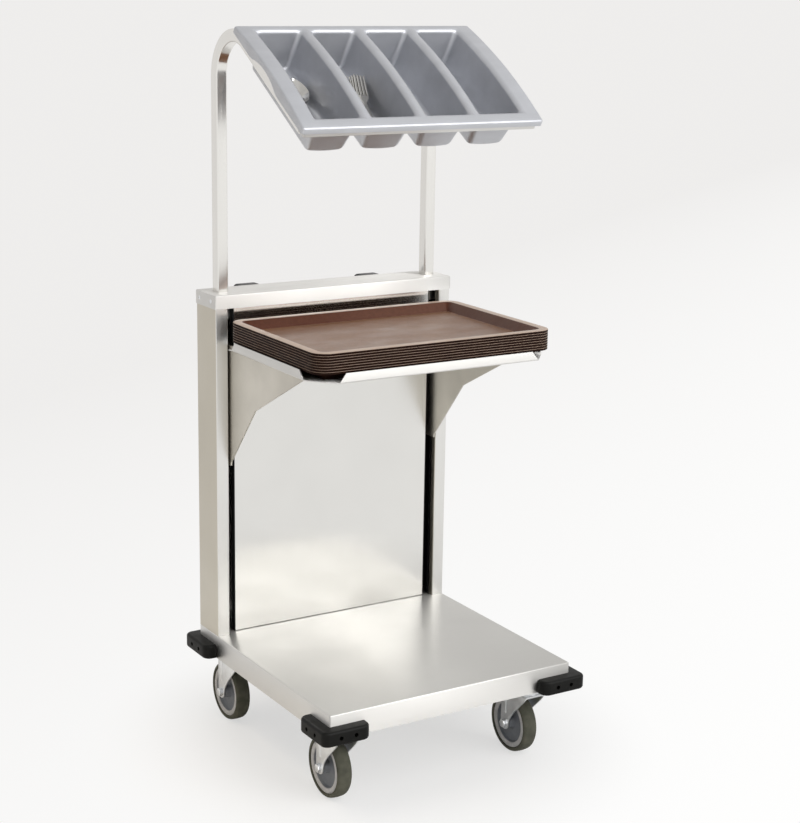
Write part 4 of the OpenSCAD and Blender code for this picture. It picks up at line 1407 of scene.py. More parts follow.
    def axle(self) -> Piece:
        """Hexagon bolt with washers, nut and rounded end.

        Returns:
            The piece, not yet dressed.
        """
        out, thick, r = self.fork_out, self.washer, self.bolt_r
        bolt = [(0, -out), (r, -out), *self.bolt_end]
        axle = Piece.lathe("axle", bolt, self.axle_mid, ACROSS, steps=24)
        for low, high in ((-out - self.hexagon, -out - thick), (out + thick, out + self.hexagon)):
            deselect()
            bpy.ops.mesh.primitive_cylinder_add(
                vertices=6,
                radius=self.hexagon_r,
                depth=high - low,
                location=((low + high) / 2, self.trail, self.axle_z),
                rotation=(0, math.pi / 2, 0),
            )
            bpy.ops.object.transform_apply(location=True, rotation=True, scale=True)
            head = Piece(bpy.context.object, "hexagon")
            axle.join(head.round_edges(self.hexagon_soft, segments=2))
        edge, belly = self.washer_r
        for low, high in ((-out - thick, -out), (out, out + thick)):
            ring = [(r, low), (edge, low), (belly, (low + high) / 2), (edge, high), (r, high)]
            axle.join(Piece.lathe("washer", ring, self.axle_mid, ACROSS, steps=32))
        return axle.smooth()

    def hub(self) -> Piece:
        """Dished hub with boss and web, and a mark on its rim ring.

        Returns:
            The piece, not yet dressed.
        """
        profile = both_sides(self.hub_half)
        hub = Piece.lathe("hub", profile, self.axle_mid, ACROSS, self.wheel_steps)

        def on_ring(c: Vector, _: Vector) -> bool:
            """Whether a face lies on the rim ring."""
            return math.hypot(c.y - self.trail, c.z - self.axle_z) > self.ring_r

        # the ring mark lets the hub finish paint light on the ring and shade in the dish
        return hub.mark(LIT_RING_MARK, on_ring).smooth(angle=35)

    def tyre(self) -> Piece:
        """Tyre with a low crown and rounded shoulders.

        Returns:
            The piece, not yet dressed.
        """
        profile = both_sides(self.tyre_half, self.tyre_crown)
        tyre = Piece.lathe("tyre", profile, self.axle_mid, ACROSS, self.wheel_steps)
        return tyre.smooth(angle=60)


@dataclass
class Column:
    """Rear column with its slots, bright panel, cap and inner parts.

    screw_dome is a screw's head as pairs of a share of its radius and a height.
    """

    half: float = 0.2775
    front: float = 0.17475
    back: float = 0.26175
    low: float = 0.215
    high: float = 0.9315
    sheet: float = 0.0015
    strip: float = 0.0275
    fold_in: float = 0.014
    fold_r: float = 0.0018
    cap_low: float = 0.905
    cap_high: float = 0.933
    cap_r: float = 0.0028
    post: Pair = (0.245, 0.21825)
    post_hole: float = 0.0128
    post_hole_r: float = 0.0043
    post_hole_high: float = 1.0
    screw_y: float = 0.026
    screw_r: float = 0.004
    screw_core: float = 0.002
    screw_deep: float = 0.01
    screw_dome: Profile = ((1.0, 0.0), (1.0, 0.0005), (0.85, 0.0011), (0.5, 0.0015), (0.0, 0.0016))
    slot_size: Triple = (0.001, 0.0006, 0.0024)

    def build(self, nodes: NodeMap, finishes: Finishes) -> None:
        """Builds the sheets and dresses what keeps its solid.

        Args:
            nodes: The CAD nodes by name.
            finishes: All finishes.
        """
        left = self.channel()
        right = left.copy("channel_right", MIRROR)
        for channel, node in ((left, "column_left"), (right, "column_right")):
            channel.settle("trolley", finishes["satin_upright"], "satin_steel", node)
            # the side faces of the same sheet take the darker copy as painted shade
            channel.also(finishes["side_steel"], lambda c, n: abs(n.x) > FACING)
        self.cap().settle("trolley", finishes["satin_level"], "satin_steel", "column_cap")
        self.screws().settle("trolley", finishes["zinc"], "zinc", "cap_screws")
        finishes.dress(nodes, "bright_panel", "front_panel")
        finishes.dress(nodes, "satin_upright", "rear_cover")
        finishes.dress(nodes, "edge_rubber", "slot_trims")
        finishes.dress(nodes, "satin_level", "spring_beam")
        finishes.dress(nodes, "zinc", "spring_left", "spring_right")
        finishes.dress(nodes, "black_plastic", "guide_left", "guide_right")

    def channel(self) -> Piece:
        """Left channel, drawn up from the middle line of its sheet.

        Returns:
            The piece, not yet dressed.
        """
        t = self.sheet / 2
        edge, side = -self.half + self.strip, -self.half + t
        near, far = self.front + t, self.back - t
        plan = [(edge - t, self.front + self.fold_in), (edge - t, near), (side, near)]
        plan += [(side, far), (edge, far)]
        points = [(x, y, self.low) for x, y in rounded(plan, self.fold_r, steps=4)]
        piece = Piece.line("channel_left", points).edges(always)
        piece.extrude((0, 0, self.high - self.low), "EDGE").weld()
        return piece.sheet(self.sheet, offset=0.0).smooth()

    def cap(self) -> Piece:
        """Folded cap with holes for the posts.

        Returns:
            The piece, not yet dressed.
        """
        t = self.sheet
        low = (-self.half - t, self.front - t, self.cap_low)
        high = (self.half + t, self.back + t, self.cap_high)
        cap = Piece.folded("cap", low, high, t, (self.cap_r, self.cap_r), segments=4)
        x, y = self.post
        r = self.post_hole
        for mid in (-x, x):
            foot, head = (mid - r, y - r, self.cap_low), (mid + r, y + r, self.post_hole_high)
            hole = Piece.block("hole", foot, head)
            cap.cut(hole.edges(upright).bevel(self.post_hole_r, segments=4))
        return cap.smooth()

    def screws(self) -> Piece:
        """Raised cross slot screws at the cap's ends.

        Returns:
            The screws as one piece, not yet dressed.
        """
        core, deep, high = self.screw_core, self.screw_deep, self.screw_dome[-1][1]
        profile = [(0, -deep), (core, -deep), (core, 0.0)]
        profile += [(self.screw_r * share, height) for share, height in self.screw_dome]
        level = (self.cap_low + self.cap_high) / 2
        mid = (self.front + self.back) / 2
        depth, narrow, wide = self.slot_size
        made = []
        for sx in (-1, 1):
            for sy in (-1, 1):
                place = Vector((sx * (self.half + self.sheet), mid + sy * self.screw_y, level))
                screw = Piece.lathe("screw", profile, place, (sx, 0, 0), steps=24)
                top = place + Vector((sx * high, 0, 0))
                for size in (Vector((depth, narrow, wide)), Vector((depth, wide, narrow))):
                    screw.cut(Piece.block("slot", top - size, top + size))
                made.append(screw)
        return Piece.merged("cap_screw_set", made).smooth()


@dataclass
class Lift:
    """Sprung shelf on two gussets, with its carriage inside the column."""

    shelf_low: float = 0.830
    side: float = 0.270
    front: float = -0.23025
    rear: float = 0.13175
    lip_rear: float = 0.12075
    cut_x: float = 0.046
    cut_y: float = 0.054
    lip: float = 0.019
    slant: float = 0.015
    sheet: float = 0.002
    fold: float = 0.0032

    def build(self, nodes: NodeMap, finishes: Finishes) -> None:
        """Builds the shelf and dresses what keeps its solid.

        Args:
            nodes: The CAD nodes by name.
            finishes: All finishes.
        """
        self.shelf().settle("lift", finishes["satin_level"], "satin_steel", "shelf")
        finishes.dress(nodes, "raw_plate", "gusset_left", "gusset_right")
        finishes.dress(nodes, "black_paint", "carriage")
        finishes.dress(nodes, "black_plastic", "guide_shoes")

    def shelf(self) -> Piece:
        """Folded shelf with three slanted lips and open front corners.

        Returns:
            The piece, not yet dressed.
        """
        x, z = self.side, self.shelf_low
        cx, cy = x - self.cut_x, self.front + self.cut_y
        left = [(-x, self.rear), (-x, self.lip_rear), (-x, cy), (-cx, self.front)]
        plan = left + [(-px, py) for px, py in reversed(left)]
        shelf = Piece.line("shelf_sheet", [(px, py, z) for px, py in plan], True)

        def side_fold(a: Vector, b: Vector) -> bool:
            """Whether an edge is the fold of a side lip.

            Args:
                a: One end of the edge.
                b: Its other end.

            Returns:
                True for such a fold.
            """
            low, high = sorted((a.y, b.y))
            same = abs(a.x - b.x) < TINY and abs(abs(a.x) - x) < TINY
            return same and abs(low - cy) < TINY and abs(high - self.lip_rear) < TINY

        def front_fold(a: Vector, b: Vector) -> bool:
            """Whether an edge is the fold of the front lip."""
            return max(a.y, b.y) < self.front + TINY

        def fold(a: Vector, b: Vector) -> bool:
            """Whether an edge is a fold at the shelf's own height."""
            return max(a.z, b.z) < z + TINY and (side_fold(a, b) or front_fold(a, b))

        middle = (cy + self.lip_rear) / 2
        shelf.edges(side_fold).extrude((0, 0, self.lip), "EDGE")
        shelf.move(lambda c: (c.x, c.y + math.copysign(self.slant, middle - c.y), c.z), True)
        shelf.edges(front_fold).extrude((0, 0, self.lip), "EDGE")
        shelf.move(lambda c: (c.x - math.copysign(self.slant, c.x), c.y, c.z), True)
        shelf.edges(fold).bevel(self.fold, segments=4)
        return shelf.face_up().sheet(self.sheet, offset=1.0).smooth()


@dataclass
class TrayStack:
    """Eight nested trays."""

    count: int = 8
    half: Pair = (0.265, 0.185)
    middle_y: float = -0.03825
    low: float = 0.832
    pitch: float = 0.005
    height: float = 0.020
    thickness: float = 0.0024
    corner: float = 0.032
    rim: float = 0.0185
    run: float = 0.0125
    edge: float = 0.005
    soft_r: float = 0.0011
    rim_band: float = 0.0014
    rim_facing: float = 0.6
    flank_facing: float = 0.3
    under_facing: float = -0.2
    well_margin: float = 0.002

    def build(self, finishes: Finishes) -> None:
        """Models one tray and copies it up the stack.

        Args:
            finishes: All finishes.
        """
        first = self.tray()
        for k in range(self.count):
            shift = Matrix.Translation((0, self.middle_y, self.low + k * self.pitch))
            body = "top_tray" if k == self.count - 1 else "tray_stack"
            copy = first.copy(f"tray_{k + 1}_moulded", shift)
            copy.settle(body, finishes["tray_laminate"], "tray_laminate", f"tray_{k + 1}")
            # outer edges take the matt near-black finish, and undersides the same as painted shade
            copy.also(finishes["tray_edge"], self.on_flank)
            # the floors take the lighter laminate copy as painted sheen
            copy.also(finishes["tray_floor"], self.on_floor)
        first.remove()

    def tray(self) -> Piece:
        """Tray with a flat rim, sloping sides and a turned down edge.

        Returns:
            The piece, not yet placed or dressed.
        """
        plan = rounded_box(*self.half, self.corner, steps=9)
        outline = {tuple(round(q, DIGITS) for q in p) for p in plan}
        tray = Piece.line("tray", [(*p, self.height) for p in plan], True).faces(always)
        tray.inset(self.rim).inset(self.run, self.height - self.thickness)

        def on_outline(a: Vector, b: Vector) -> bool:
            """Whether an edge runs along the outline."""
            return all((round(p.x, DIGITS), round(p.y, DIGITS)) in outline for p in (a, b))

        def on_rim(c: Vector, n: Vector) -> bool:
            """Whether a face lies on top of the rim."""
            high = c.z > self.height - self.rim_band and n.z > self.rim_facing
            return high and self.off_well(c.x, c.y) > 0

        tray.edges(on_outline).extrude((0, 0, -self.edge), "EDGE")
        tray.face_up().sheet(self.thickness, offset=-1.0)
        tray.round_edges(self.soft_r, segments=3, angle=28)
        # the rim mark carries the pale rim, partly wear and partly painted sheen
        return tray.mark(RIM_MARK, on_rim).smooth(angle=40)

    def on_flank(self, c: Vector, n: Vector) -> bool:
        """Whether a face is on a placed tray's outer edge or underside; the near-black on the
        underside is painted shade.
        """
        outside = self.off_well(c.x, c.y - self.middle_y) > 0
        return n.z < self.under_facing or (outside and n.z < self.flank_facing)

    def on_floor(self, c: Vector, n: Vector) -> bool:
        """Whether a face is on the floor of a placed tray, which takes a lighter copy of the
        laminate as painted sheen.
        """
        return n.z > FLAT and self.off_well(c.x, c.y - self.middle_y) < -self.run / 2

    def off_well(self, x: float, y: float) -> float:
        """Distance of a point outside the well's rounded outline.

        Args:
            x: Place across the tray.
            y: Place along it, from its middle.

        Returns:
            The distance, below zero inside.
        """
        r = self.corner - self.rim
        inner = self.rim - self.well_margin + r
        u, v = abs(x) - self.half[0] + inner, abs(y) - self.half[1] + inner
        return math.hypot(max(u, 0.0), max(v, 0.0)) + min(max(u, v), 0.0) - r


@dataclass(frozen=True)
class Slope:
    """Sloping frame of the bin: minus Y runs down the slope, and Z off the rim line."""

    tilt: float = 32.0
    back_y: float = 0.11125
    back_z: float = 1.460

    @property
    def matrix(self) -> Matrix:
        """Place of the frame."""
        turn = Matrix.Rotation(math.radians(self.tilt), 4, "X")
        return Matrix.Translation((0, self.back_y, self.back_z)) @ turn


@dataclass
class CutleryRack:
    """Bent posts and the cross bars that carry the bin."""

    slope: Slope = Slope()
    post_x: float = 0.245
    post_y: float = 0.21825
    post_low: float = 0.904
    bend_z: float = 1.35826
    bend_r: float = 0.083
    bend_steps: int = 28
    slope_start: float = 0.03357
    slope_end: float = 0.301
    tube: float = 0.025
    tube_r: float = 0.004
    bar_z: Pair = (-0.025, -0.003)
    front_half: float = 0.256
    front_y: Pair = (-0.318, -0.301)
    front_r: float = 0.0022
    back_y: Pair = (-0.015, -0.004)
    back_r: float = 0.0018

    def build(self, finishes: Finishes) -> None:
        """Builds the posts and the bars.

        Args:
            finishes: All finishes.
        """
        left = self.post()
        right = left.copy("post_right_tube", MIRROR)
        for post, node in ((left, "post_left"), (right, "post_right")):
            post.settle("trolley", finishes["tube_steel"], "satin_steel", node)
        self.bars().settle("trolley", finishes["satin_level"], "satin_steel", "cutlery_frame")

    def post(self) -> Piece:
        """Left post: square tube drawn up, bent and drawn down the slope.

        Returns:
            The piece, not yet dressed.
        """
        half, tilt = self.tube / 2, math.radians(self.slope.tilt)
        plan = rounded_box(half, half, self.tube_r, steps=5)
        points = [(x - self.post_x, y + self.post_y, self.post_low) for x, y in plan]
        post = Piece.line("post_left_tube", points, True).faces(always)
        post.extrude((0, 0, self.bend_z - self.post_low))
        centre = (-self.post_x, self.post_y - self.bend_r, self.bend_z)
        bend = math.radians(90 + self.slope.tilt)
        with post.edit("FACE"):
            bpy.ops.mesh.spin(steps=self.bend_steps, angle=bend, center=centre, axis=(-1, 0, 0))
        length = self.slope_end - self.slope_start
        post.extrude((0, -math.cos(tilt) * length, -math.sin(tilt) * length)).weld()
        return post.smooth(angle=40)

    def bars(self) -> Piece:
        """Front and back cross bars under the bin's rim.

        Returns:
            The bars as one piece, not yet dressed.
        """
        low, high = self.bar_z
        made = []
        inner = self.post_x - self.tube / 2
        for name, half, (near, far), radius, segments in (
            ("rack_bars", self.front_half, self.front_y, self.front_r, 4),
            ("back_bar", inner, self.back_y, self.back_r, 3),
        ):
            bar = Piece.block(name, (-half, near, low), (half, far, high))
            made.append(bar.round_edges(radius, segments))
        return Piece.merged("rack_bars", made).place(self.slope.matrix).smooth()


@dataclass
class CutleryBin:
    """Bin with four pockets, drawn on the slope with its back edge at the frame's origin."""

    slope: Slope = Slope()
    half: float = 0.265
    length: float = 0.325
    dome: float = 0.0115
    crease: float = 0.0012
    skirt: float = 0.012
    wall: float = 0.003
    corner: float = 0.006
    shoulder_r: float = 0.0042
    pitch: float = 0.119
    mouth: float = 0.049
    floor_half: float = 0.038
    depth: float = 0.080
    sag: float = 0.003
    pocket_back: float = 0.020
    pocket_front: float = 0.296
    back_lean: float = 0.008
    front_lean: float = 0.012
    mouth_steps: int = 8
    pocket_steps: int = 26
    arch_mid: float = 0.148
    arch_half: float = 0.058
    arch_rise: float = 0.013
    soft_r: float = 0.0088
    dome_room: float = 0.0006
    border_room: float = 0.0021

    def build(self, finishes: Finishes) -> None:
        """Builds the bin with its cutlery.

        Args:
            finishes: All finishes.
        """
        self.bin().settle("bin", finishes["bin_plastic"], "bin_plastic", "cutlery_bin")
        cutlery = Cutlery(self)
        for pile, node in ((cutlery.spoons(), "spoons"), (cutlery.forks(), "forks")):
            pile.settle("bin", finishes["cutlery_polish"], "cutlery_steel", node)

    def middle(self, pocket: int) -> float:
        """Middle of a pocket, counted from the left."""
        return (pocket - 1.5) * self.pitch

    @property
    def middles(self) -> list[float]:
        """Middles of the four pockets."""
        return [self.middle(k) for k in range(4)]

    def dome_at(self, y: float) -> float:
        """Height of the rim line.

        Args:
            y: Place along the slope.

        Returns:
            The height at that place.
        """
        half = self.length / 2
        radius = (half**2 + self.dome**2) / (2 * self.dome)
        off = abs(y + half)
        lift = math.sqrt(radius**2 - off**2) - (radius - self.dome)
        return lift * (1 - self.crease / self.dome) + self.crease * (1 - off / half)

    def skirt_at(self, p: Vector) -> float:
        """Height of the skirt's lower edge, with the hand arches at both sides.

        Args:
            p: A point of the border.

        Returns:
            The height below it.
        """
        off = abs(p.y + self.arch_mid)
        if abs(p.x) < self.half - TINY or off >= self.arch_half:
            return -self.skirt
        radius = (self.arch_half**2 + self.arch_rise**2) / (2 * self.arch_rise)
        return -self.skirt + math.sqrt(radius**2 - off**2) - (radius - self.arch_rise)

    def bin(self) -> Piece:
        """Bin with a domed rim, four tapered pockets and a skirt.

        Returns:
            The piece, not yet dressed.
        """
        n = self.mouth_steps
        across = [self.mouth * (2 * i / n - 1) for i in range(n + 1)]
        columns = [-self.half, *(mid + x for mid in self.middles for x in across), self.half]
        step = (self.pocket_front - self.pocket_back) / self.pocket_steps
        along = [-self.pocket_front + step * i for i in range(self.pocket_steps + 1)]
        rim = Piece.grid("bin_moulding", columns, [-self.length, *along, 0.0])
        rim.move(lambda c: (c.x, c.y, self.dome_at(c.y)))
        self.draw_pockets(rim)
        self.draw_skirt(rim)
        return rim.sheet(self.wall, offset=-1.0).place(self.slope.matrix).smooth(angle=38)

    def draw_pockets(self, rim: Piece) -> None:
        """Draws the four pockets down from the rim and rounds their edges.

        Args:
            rim: The domed rim.
        """

        def in_mouth(c: Vector, _: Vector) -> bool:
            """Whether a face lies in the mouth of a pocket."""
            along = -self.pocket_front < c.y < -self.pocket_back
            return along and any(abs(c.x - m) < self.mouth for m in self.middles)

        rim.faces(in_mouth).extrude(ORIGIN).move(self.to_floor, True)
        rim.edges(self.pocket_edge).bevel(self.soft_r, segments=6)

    def to_floor(self, c: Vector) -> Point:
        """Moves a point of a pocket's mouth to the pocket's floor.

        Args:
            c: The point in the mouth.

        Returns:
            Its place on the floor.
        """
        mid = min(self.middles, key=lambda m: abs(c.x - m))
        share = (c.x - mid) / self.mouth
        back, front = -self.pocket_back - self.back_lean, -self.pocket_front + self.front_lean
        way = (c.y + self.pocket_back) / (self.pocket_back - self.pocket_front)
        low = -self.depth - self.sag * (1 - share**2)
        return (mid + share * self.floor_half, back + way * (front - back), low)

    def pocket_edge(self, a: Vector, b: Vector) -> bool:
        """Whether an edge lies on a pocket's mouth, floor line or corner.

        Args:
            a: One end of the edge.
            b: Its other end.

        Returns:
            True for an edge that is to be rounded.
        """
        (m0, low0, side0, end0), (m1, low1, side1, end1) = map(self.in_pocket, (a, b))
        if m0 != m1:
            return False
        if low0 != low1:
            return side0 and end0 and side1 and end1
        if side0 and side1 and abs(a.x - b.x) < TINY:
            return True
        return end0 and end1 and abs(a.y - b.y) < TINY

    def in_pocket(self, p: Vector) -> tuple[float, bool, bool, bool]:
        """How a point lies in the nearest pocket.

        Args:
            p: The point.

        Returns:
            The pocket's middle, and whether the point is low, on a side line and on an end line.
        """
        mid = min(self.middles, key=lambda m: abs(p.x - m))
        low = p.z < -self.depth / 2
        half = self.floor_half if low else self.mouth
        back = -self.pocket_back - (self.back_lean if low else 0)
        front = -self.pocket_front + (self.front_lean if low else 0)
        inside = front - TINY < p.y < back + TINY and abs(p.x - mid) < half + TINY
        at_side = abs(abs(p.x - mid) - half) < TINY
        at_end = min(abs(p.y - back), abs(p.y - front)) < TINY
        return (mid, low, at_side and inside, at_end and inside)

    def draw_skirt(self, rim: Piece) -> None:
        """Draws the skirt down round the rim and rounds its corners.

        Args:
            rim: The rim with its pockets.
        """
        half, length, r = self.half, self.length, self.corner

        def border(a: Vector, b: Vector) -> bool:
            """Whether an edge lies on the border of the rim.

            Args:
                a: One end of the edge.
                b: Its other end.

            Returns:
                True for an edge that the skirt hangs from.
            """
            side = abs(a.x - b.x) < TINY and abs(a.x) > half - TINY
            end = min(a.y, b.y) > -TINY or max(a.y, b.y) < -length + TINY
            return max(a.z, b.z) >= -self.skirt and (side or end)

        def corner(a: Vector, b: Vector) -> bool:
            """Whether an edge is an upright corner of the skirt.

            Args:
                a: One end of the edge.
                b: Its other end.

            Returns:
                True for such a corner.
            """
            ends = all(p.y > -TINY or p.y < -length + TINY for p in (a, b))
            sides = all(abs(p.x) > half - TINY for p in (a, b))
            return ends and sides and abs(a.z - b.z) > self.skirt / 2

        def on_shoulder(p: Vector) -> bool:
            """Whether a point lies where the rim turns down into the skirt.

            Args:
                p: The point.

            Returns:
                True for a point on that line.
            """
            out = abs(p.x) > half - r - TINY or p.y > -r - TINY or p.y < -length + r + TINY
            level = abs(p.z - self.dome_at(p.y)) < self.dome_room
            return out and level and self.off_border(p) < self.border_room

        rim.edges(border).extrude(ORIGIN, "EDGE")
        rim.move(lambda c: (c.x, c.y, self.skirt_at(c)), True).face_up()
        rim.edges(corner).bevel(r, segments=4)
        rim.edges(lambda a, b: on_shoulder(a) and on_shoulder(b)).bevel(self.shoulder_r, segments=4)

    def off_border(self, p: Vector) -> float:
        """Distance of a point from the rim's rounded plan border.

        Args:
            p: The point.

        Returns:
            The distance.
        """
        r, mid = self.corner, self.length / 2
        u, v = abs(p.x) - (self.half - r), abs(p.y + mid) - (mid - r)
        if u > 0 and v > 0:
            return abs(r - math.hypot(u, v))
        return min(abs(r - u), abs(r - v))


@dataclass
class Cutlery:
    """Spoons and forks, drawn along Y from the handle's end and laid in the bin."""

    holder: CutleryBin
    low: float = 0.272
    gauge: float = 0.002
    sheet_share: float = 0.9
    end_r: float = 0.0095
    end_steps: int = 6
    neck_half: float = 0.0033
    handle_steps: int = 16
    spoon_l: float = 0.187
    bowl: float = 0.072
    bowl_half: float = 0.0215
    bowl_deep: float = 0.010
    bowl_rise: float = 0.002
    bowl_extra: float = 0.0005
    bowl_skew: float = 0.92
    bowl_full: float = 0.62
    hollow_start: float = 0.02
    hollow_full: float = 0.8
    neck_run: float = 0.02
    bowl_steps: int = 22
    spoon_columns: int = 10
    spoon_step: float = 0.0023
    spoon_turns: tuple[float, ...] = (0.0, -2.16, 3.25, -1.10)
    spoon_side: float = -0.002
    spoon_lift: float = 0.0016
    spoon_turn: float = 5.49
    fork_l: float = 0.168
    fork_head: float = 0.075
    fork_half: float = 0.0125
    tines: float = 0.050
    tine_gap: float = 0.0032
    tine_taper: float = 0.0008
    shoulder_steps: int = 8
    tine_steps: int = 10
    fork_bend: float = 12.0
    fork_sag: float = 0.0022
    fork_soft: float = 0.0004
    fork_step: float = 0.0026
    fork_runs: tuple[float, ...] = (0.16, 0.24, 0.12, 0.2, 0.06, 0.26, 0.14, 0.22, 0.04, 0.0)
    fork_side: float = -0.008
    fork_lift: float = 0.0012
    fork_turn: float = 12.44

    def handle(self, y: float, neck: float) -> float:
        """Half width of a tapered handle with a round end.

        Args:
            y: Distance along the handle.
            neck: Distance at which it ends.

        Returns:
            The half width.
        """
        t = max(0.0, y) / neck
        tip = math.sqrt(max(0.0, 1 - (1 - min(1.0, (y + self.end_r) / self.end_r)) ** 2))
        return (self.end_r * (1 - t) + self.neck_half * t) * tip

    def handle_rows(self, neck: float) -> list[float]:
        """Grid lines along a handle up to its neck, closer at the round end."""
        end = [-self.end_r * (1 - i / self.end_steps) for i in range(self.end_steps)]
        return end + [neck * i / self.handle_steps for i in range(self.handle_steps + 1)]

    def pile(
        self,
        first: Piece,
        name: str,
        turns: Sequence[float],
        step: float,
        about: float,
        place: Matrix,
    ) -> Piece:
        """Copies of one piece of cutlery laid on each other.

        Args:
            first: The piece to copy.
            name: Name of the pile.
            turns: Turn of each copy in degrees.
            step: Height added by each copy.
            about: Distance of the turning point along the piece.
            place: Place of the pile.

        Returns:
            The pile as one piece.
        """
        made = []
        back = Matrix.Translation((0, -about, 0))
        for i, turn in enumerate(turns):
            pivot = Matrix.Translation((0, about, i * step))
            spin = Matrix.Rotation(math.radians(turn), 4, "Z")
            made.append(first.copy(f"{name}_{i}", place @ (pivot @ spin @ back)))
        first.remove()
        return Piece.merged(name, made).smooth(angle=50)

    def laid(self, pocket: int, side: float, lift: float, lean: float, turn: float) -> Matrix:
        """Place of a pile in a pocket.

        Args:
            pocket: Number of the pocket from the left.
            side: Side shift of the handles' lower ends.
            lift: Height above the floor's lowest line.
            lean: Lean in degrees.
            turn: Turn towards the right wall in degrees.

        Returns:
            The placing matrix.
        """
        holder = self.holder
        x = holder.middle(pocket) + side
        place = Matrix.Translation((x, -self.low, lift - holder.depth - holder.sag))
        lean_by = Matrix.Rotation(math.radians(lean), 4, "X")
        return holder.slope.matrix @ place @ lean_by @ Matrix.Rotation(math.radians(-turn), 4, "Z")

    def spoon_point(self, c: Vector) -> Point:
        """Moves a point of a flat grid to its place on a spoon.

        Args:
            c: The point, with its share of the half width as X.

        Returns:
            Its place.
        """
        neck = self.spoon_l - self.bowl
        t = (c.y - neck) / self.bowl
        if t < 0:
            half = self.handle(c.y, neck)
            bent = max(0.0, (c.y - neck + self.neck_run) / self.neck_run)
            height = self.bowl_rise * bent**2
        else:
            egg = max(0.0, math.sin(math.pi * t**self.bowl_skew)) ** self.bowl_full
            half = max(self.neck_half * (1 - t), self.bowl_half * egg)
            way = min(1.0, t * (1 - self.hollow_start) + self.hollow_start)
            hollow = max(0.0, math.sin(math.pi * way)) ** self.hollow_full
            deep = (self.bowl_deep + self.bowl_extra) * (1 - c.x**2) * hollow
            height = self.bowl_rise * (1 - t) - deep
        return (c.x * half, c.y, height + self.gauge)

    def spoons(self) -> Piece:
        """Pile of spoons in the first pocket.

        Returns:
            The piece, not yet dressed.
        """
        neck, about = self.spoon_l - self.bowl, self.spoon_l - self.bowl / 2
        rows = self.handle_rows(neck)
        rows += [neck + self.bowl * i / self.bowl_steps for i in range(1, self.bowl_steps + 1)]
        columns = [-1 + 2 * i / self.spoon_columns for i in range(self.spoon_columns + 1)]
        spoon = Piece.grid("spoon", columns, rows).move(self.spoon_point)
        spoon.face_up().sheet(self.gauge * self.sheet_share, offset=-1.0)
        lean = math.degrees(math.asin(self.bowl_deep / about))
        place = self.laid(0, self.spoon_side, self.spoon_lift, lean, self.spoon_turn)
        return self.pile(spoon, "spoon_pile", self.spoon_turns, self.spoon_step, about, place)

    def fork_point(self, c: Vector) -> Point:
        """Moves a point of a flat grid to its place on a fork.

        Args:
            c: The point, with its share of the half width as X.

        Returns:
            Its place.
        """
        neck, root = self.fork_l - self.fork_head, self.fork_l - self.tines
        if c.y < neck:
            return (c.x * self.handle(c.y, neck), c.y, self.gauge)
        t = min(1.0, (c.y - neck) / (root - neck))
        swell = t * t * (3 - 2 * t)
        taper = self.tine_taper * max(0.0, (c.y - root) / self.tines)
        half = self.neck_half * (1 - swell) + self.fork_half * swell - taper
        rise = math.tan(math.radians(self.fork_bend)) * (c.y - neck)
        sag = self.fork_sag * math.sin(math.pi * (c.y - neck) / self.fork_head)
        return (c.x * half, c.y, rise - sag + self.gauge)

    def forks(self) -> Piece:
        """Pile of forks in the second pocket.

        Returns:
            The piece, not yet dressed.
        """
        half, gap = self.fork_half, self.tine_gap
        neck, root = self.fork_l - self.fork_head, self.fork_l - self.tines
        gaps = [i * (2 * half + gap) / 4 for i in (-1, 0, 1)]
        sides = [(mid + side) / half for mid in gaps for side in (-gap / 2, gap / 2)]
        rows = self.handle_rows(neck)
        shoulder = range(1, self.shoulder_steps + 1)
        rows += [neck + (root - neck) * i / self.shoulder_steps for i in shoulder]
        rows += [root + self.tines * i / self.tine_steps for i in range(1, self.tine_steps + 1)]
        fork = Piece.grid("fork", [-1.0, *sides, 1.0], rows)
        near = gap / 2 / half
        fork.faces(lambda c, n: c.y > root and any(abs(c.x - mid / half) < near for mid in gaps))
        with fork.edit("FACE"):
            bpy.ops.mesh.delete(type="FACE")
        fork.move(self.fork_point).face_up().sheet(self.gauge * self.sheet_share, offset=-1.0)
        fork.round_edges(self.fork_soft, segments=2, angle=50)
        floor, reach = 2 * self.holder.floor_half, self.fork_l - self.fork_head / 2
        turns = [math.degrees(math.asin(run * floor / reach)) for run in self.fork_runs]
        place = self.laid(1, self.fork_side, self.fork_lift, 0.0, self.fork_turn)
        return self.pile(fork, "fork_pile", turns, self.fork_step, 0.0, place)


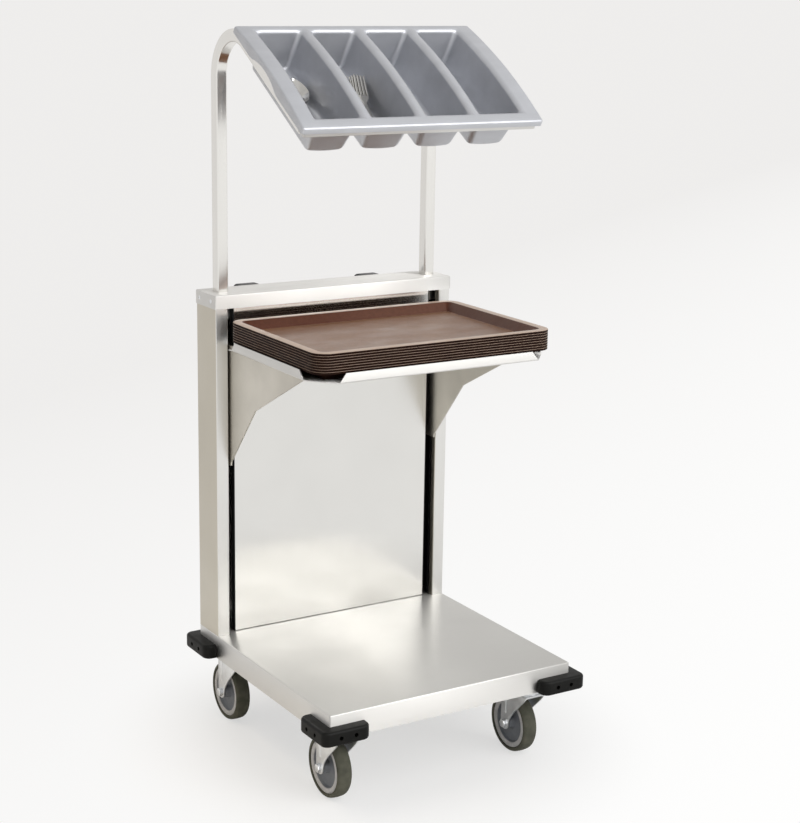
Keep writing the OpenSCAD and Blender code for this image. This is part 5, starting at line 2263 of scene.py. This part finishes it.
@dataclass
class PushHandle:
    """Round bar in two brackets behind the cap."""

    bracket_x: float = 0.145
    bracket_half: float = 0.0225
    wall_y: float = 0.26325
    bar_y: float = 0.30325
    bar_z: float = 0.909
    bracket_r: float = 0.020
    bracket_soft: float = 0.003
    bar_r: float = 0.011
    bar_half: float = 0.1525
    bar_soft: float = 0.0012

    def build(self, finishes: Finishes) -> None:
        """Builds the brackets and the bar.

        Args:
            finishes: All finishes.
        """
        plastic = finishes["black_plastic"]
        self.brackets().settle("trolley", plastic, "bracket_plastic", "handle_brackets")
        self.bar().settle("trolley", finishes["satin_depth"], "satin_steel", "handle_bar")

    def bar(self) -> Piece:
        """Round bar with softened ends.

        Returns:
            The piece, not yet dressed.
        """
        h, r, e = self.bar_half, self.bar_r, self.bar_soft
        profile = [(0, -h), (r - e, -h), (r, e - h), (r, h - e), (r - e, h), (0, h)]
        centre = (0, self.bar_y, self.bar_z)
        return Piece.lathe("grip_bar", profile, centre, ACROSS, steps=48).smooth()

    def brackets(self) -> Piece:
        """Two rounded brackets.

        Returns:
            The brackets as one piece, not yet dressed.
        """
        r, y, z = self.bracket_r, self.bar_y, self.bar_z
        bend = arc((y, z), r, -90, 90, steps=16)
        side = [(self.wall_y, z - r), *bend, (self.wall_y, z + r)]
        made = []
        for sign in (-1, 1):
            start = sign * self.bracket_x - self.bracket_half
            bracket = Piece.line("bracket", [(start, v, w) for v, w in side], True)
            bracket.faces(always).extrude((2 * self.bracket_half, 0, 0)).weld()
            made.append(bracket.round_edges(self.bracket_soft, segments=4))
        return Piece.merged("bracket_pair", made).smooth()


def main() -> None:
    """Loads the solid model and builds the looks."""
    logging.basicConfig(level=logging.INFO, format="%(name)s: %(message)s")
    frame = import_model()
    nodes = frame["nodes"]
    Studio().build()
    finishes = Finishes().build()
    Platform().build(nodes, finishes)
    Casters().build(finishes)
    Column().build(nodes, finishes)
    Lift().build(nodes, finishes)
    TrayStack().build(finishes)
    CutleryRack().build(finishes)
    CutleryBin().build(finishes)
    PushHandle().build(finishes)


if __name__ == "__main__":
    main()
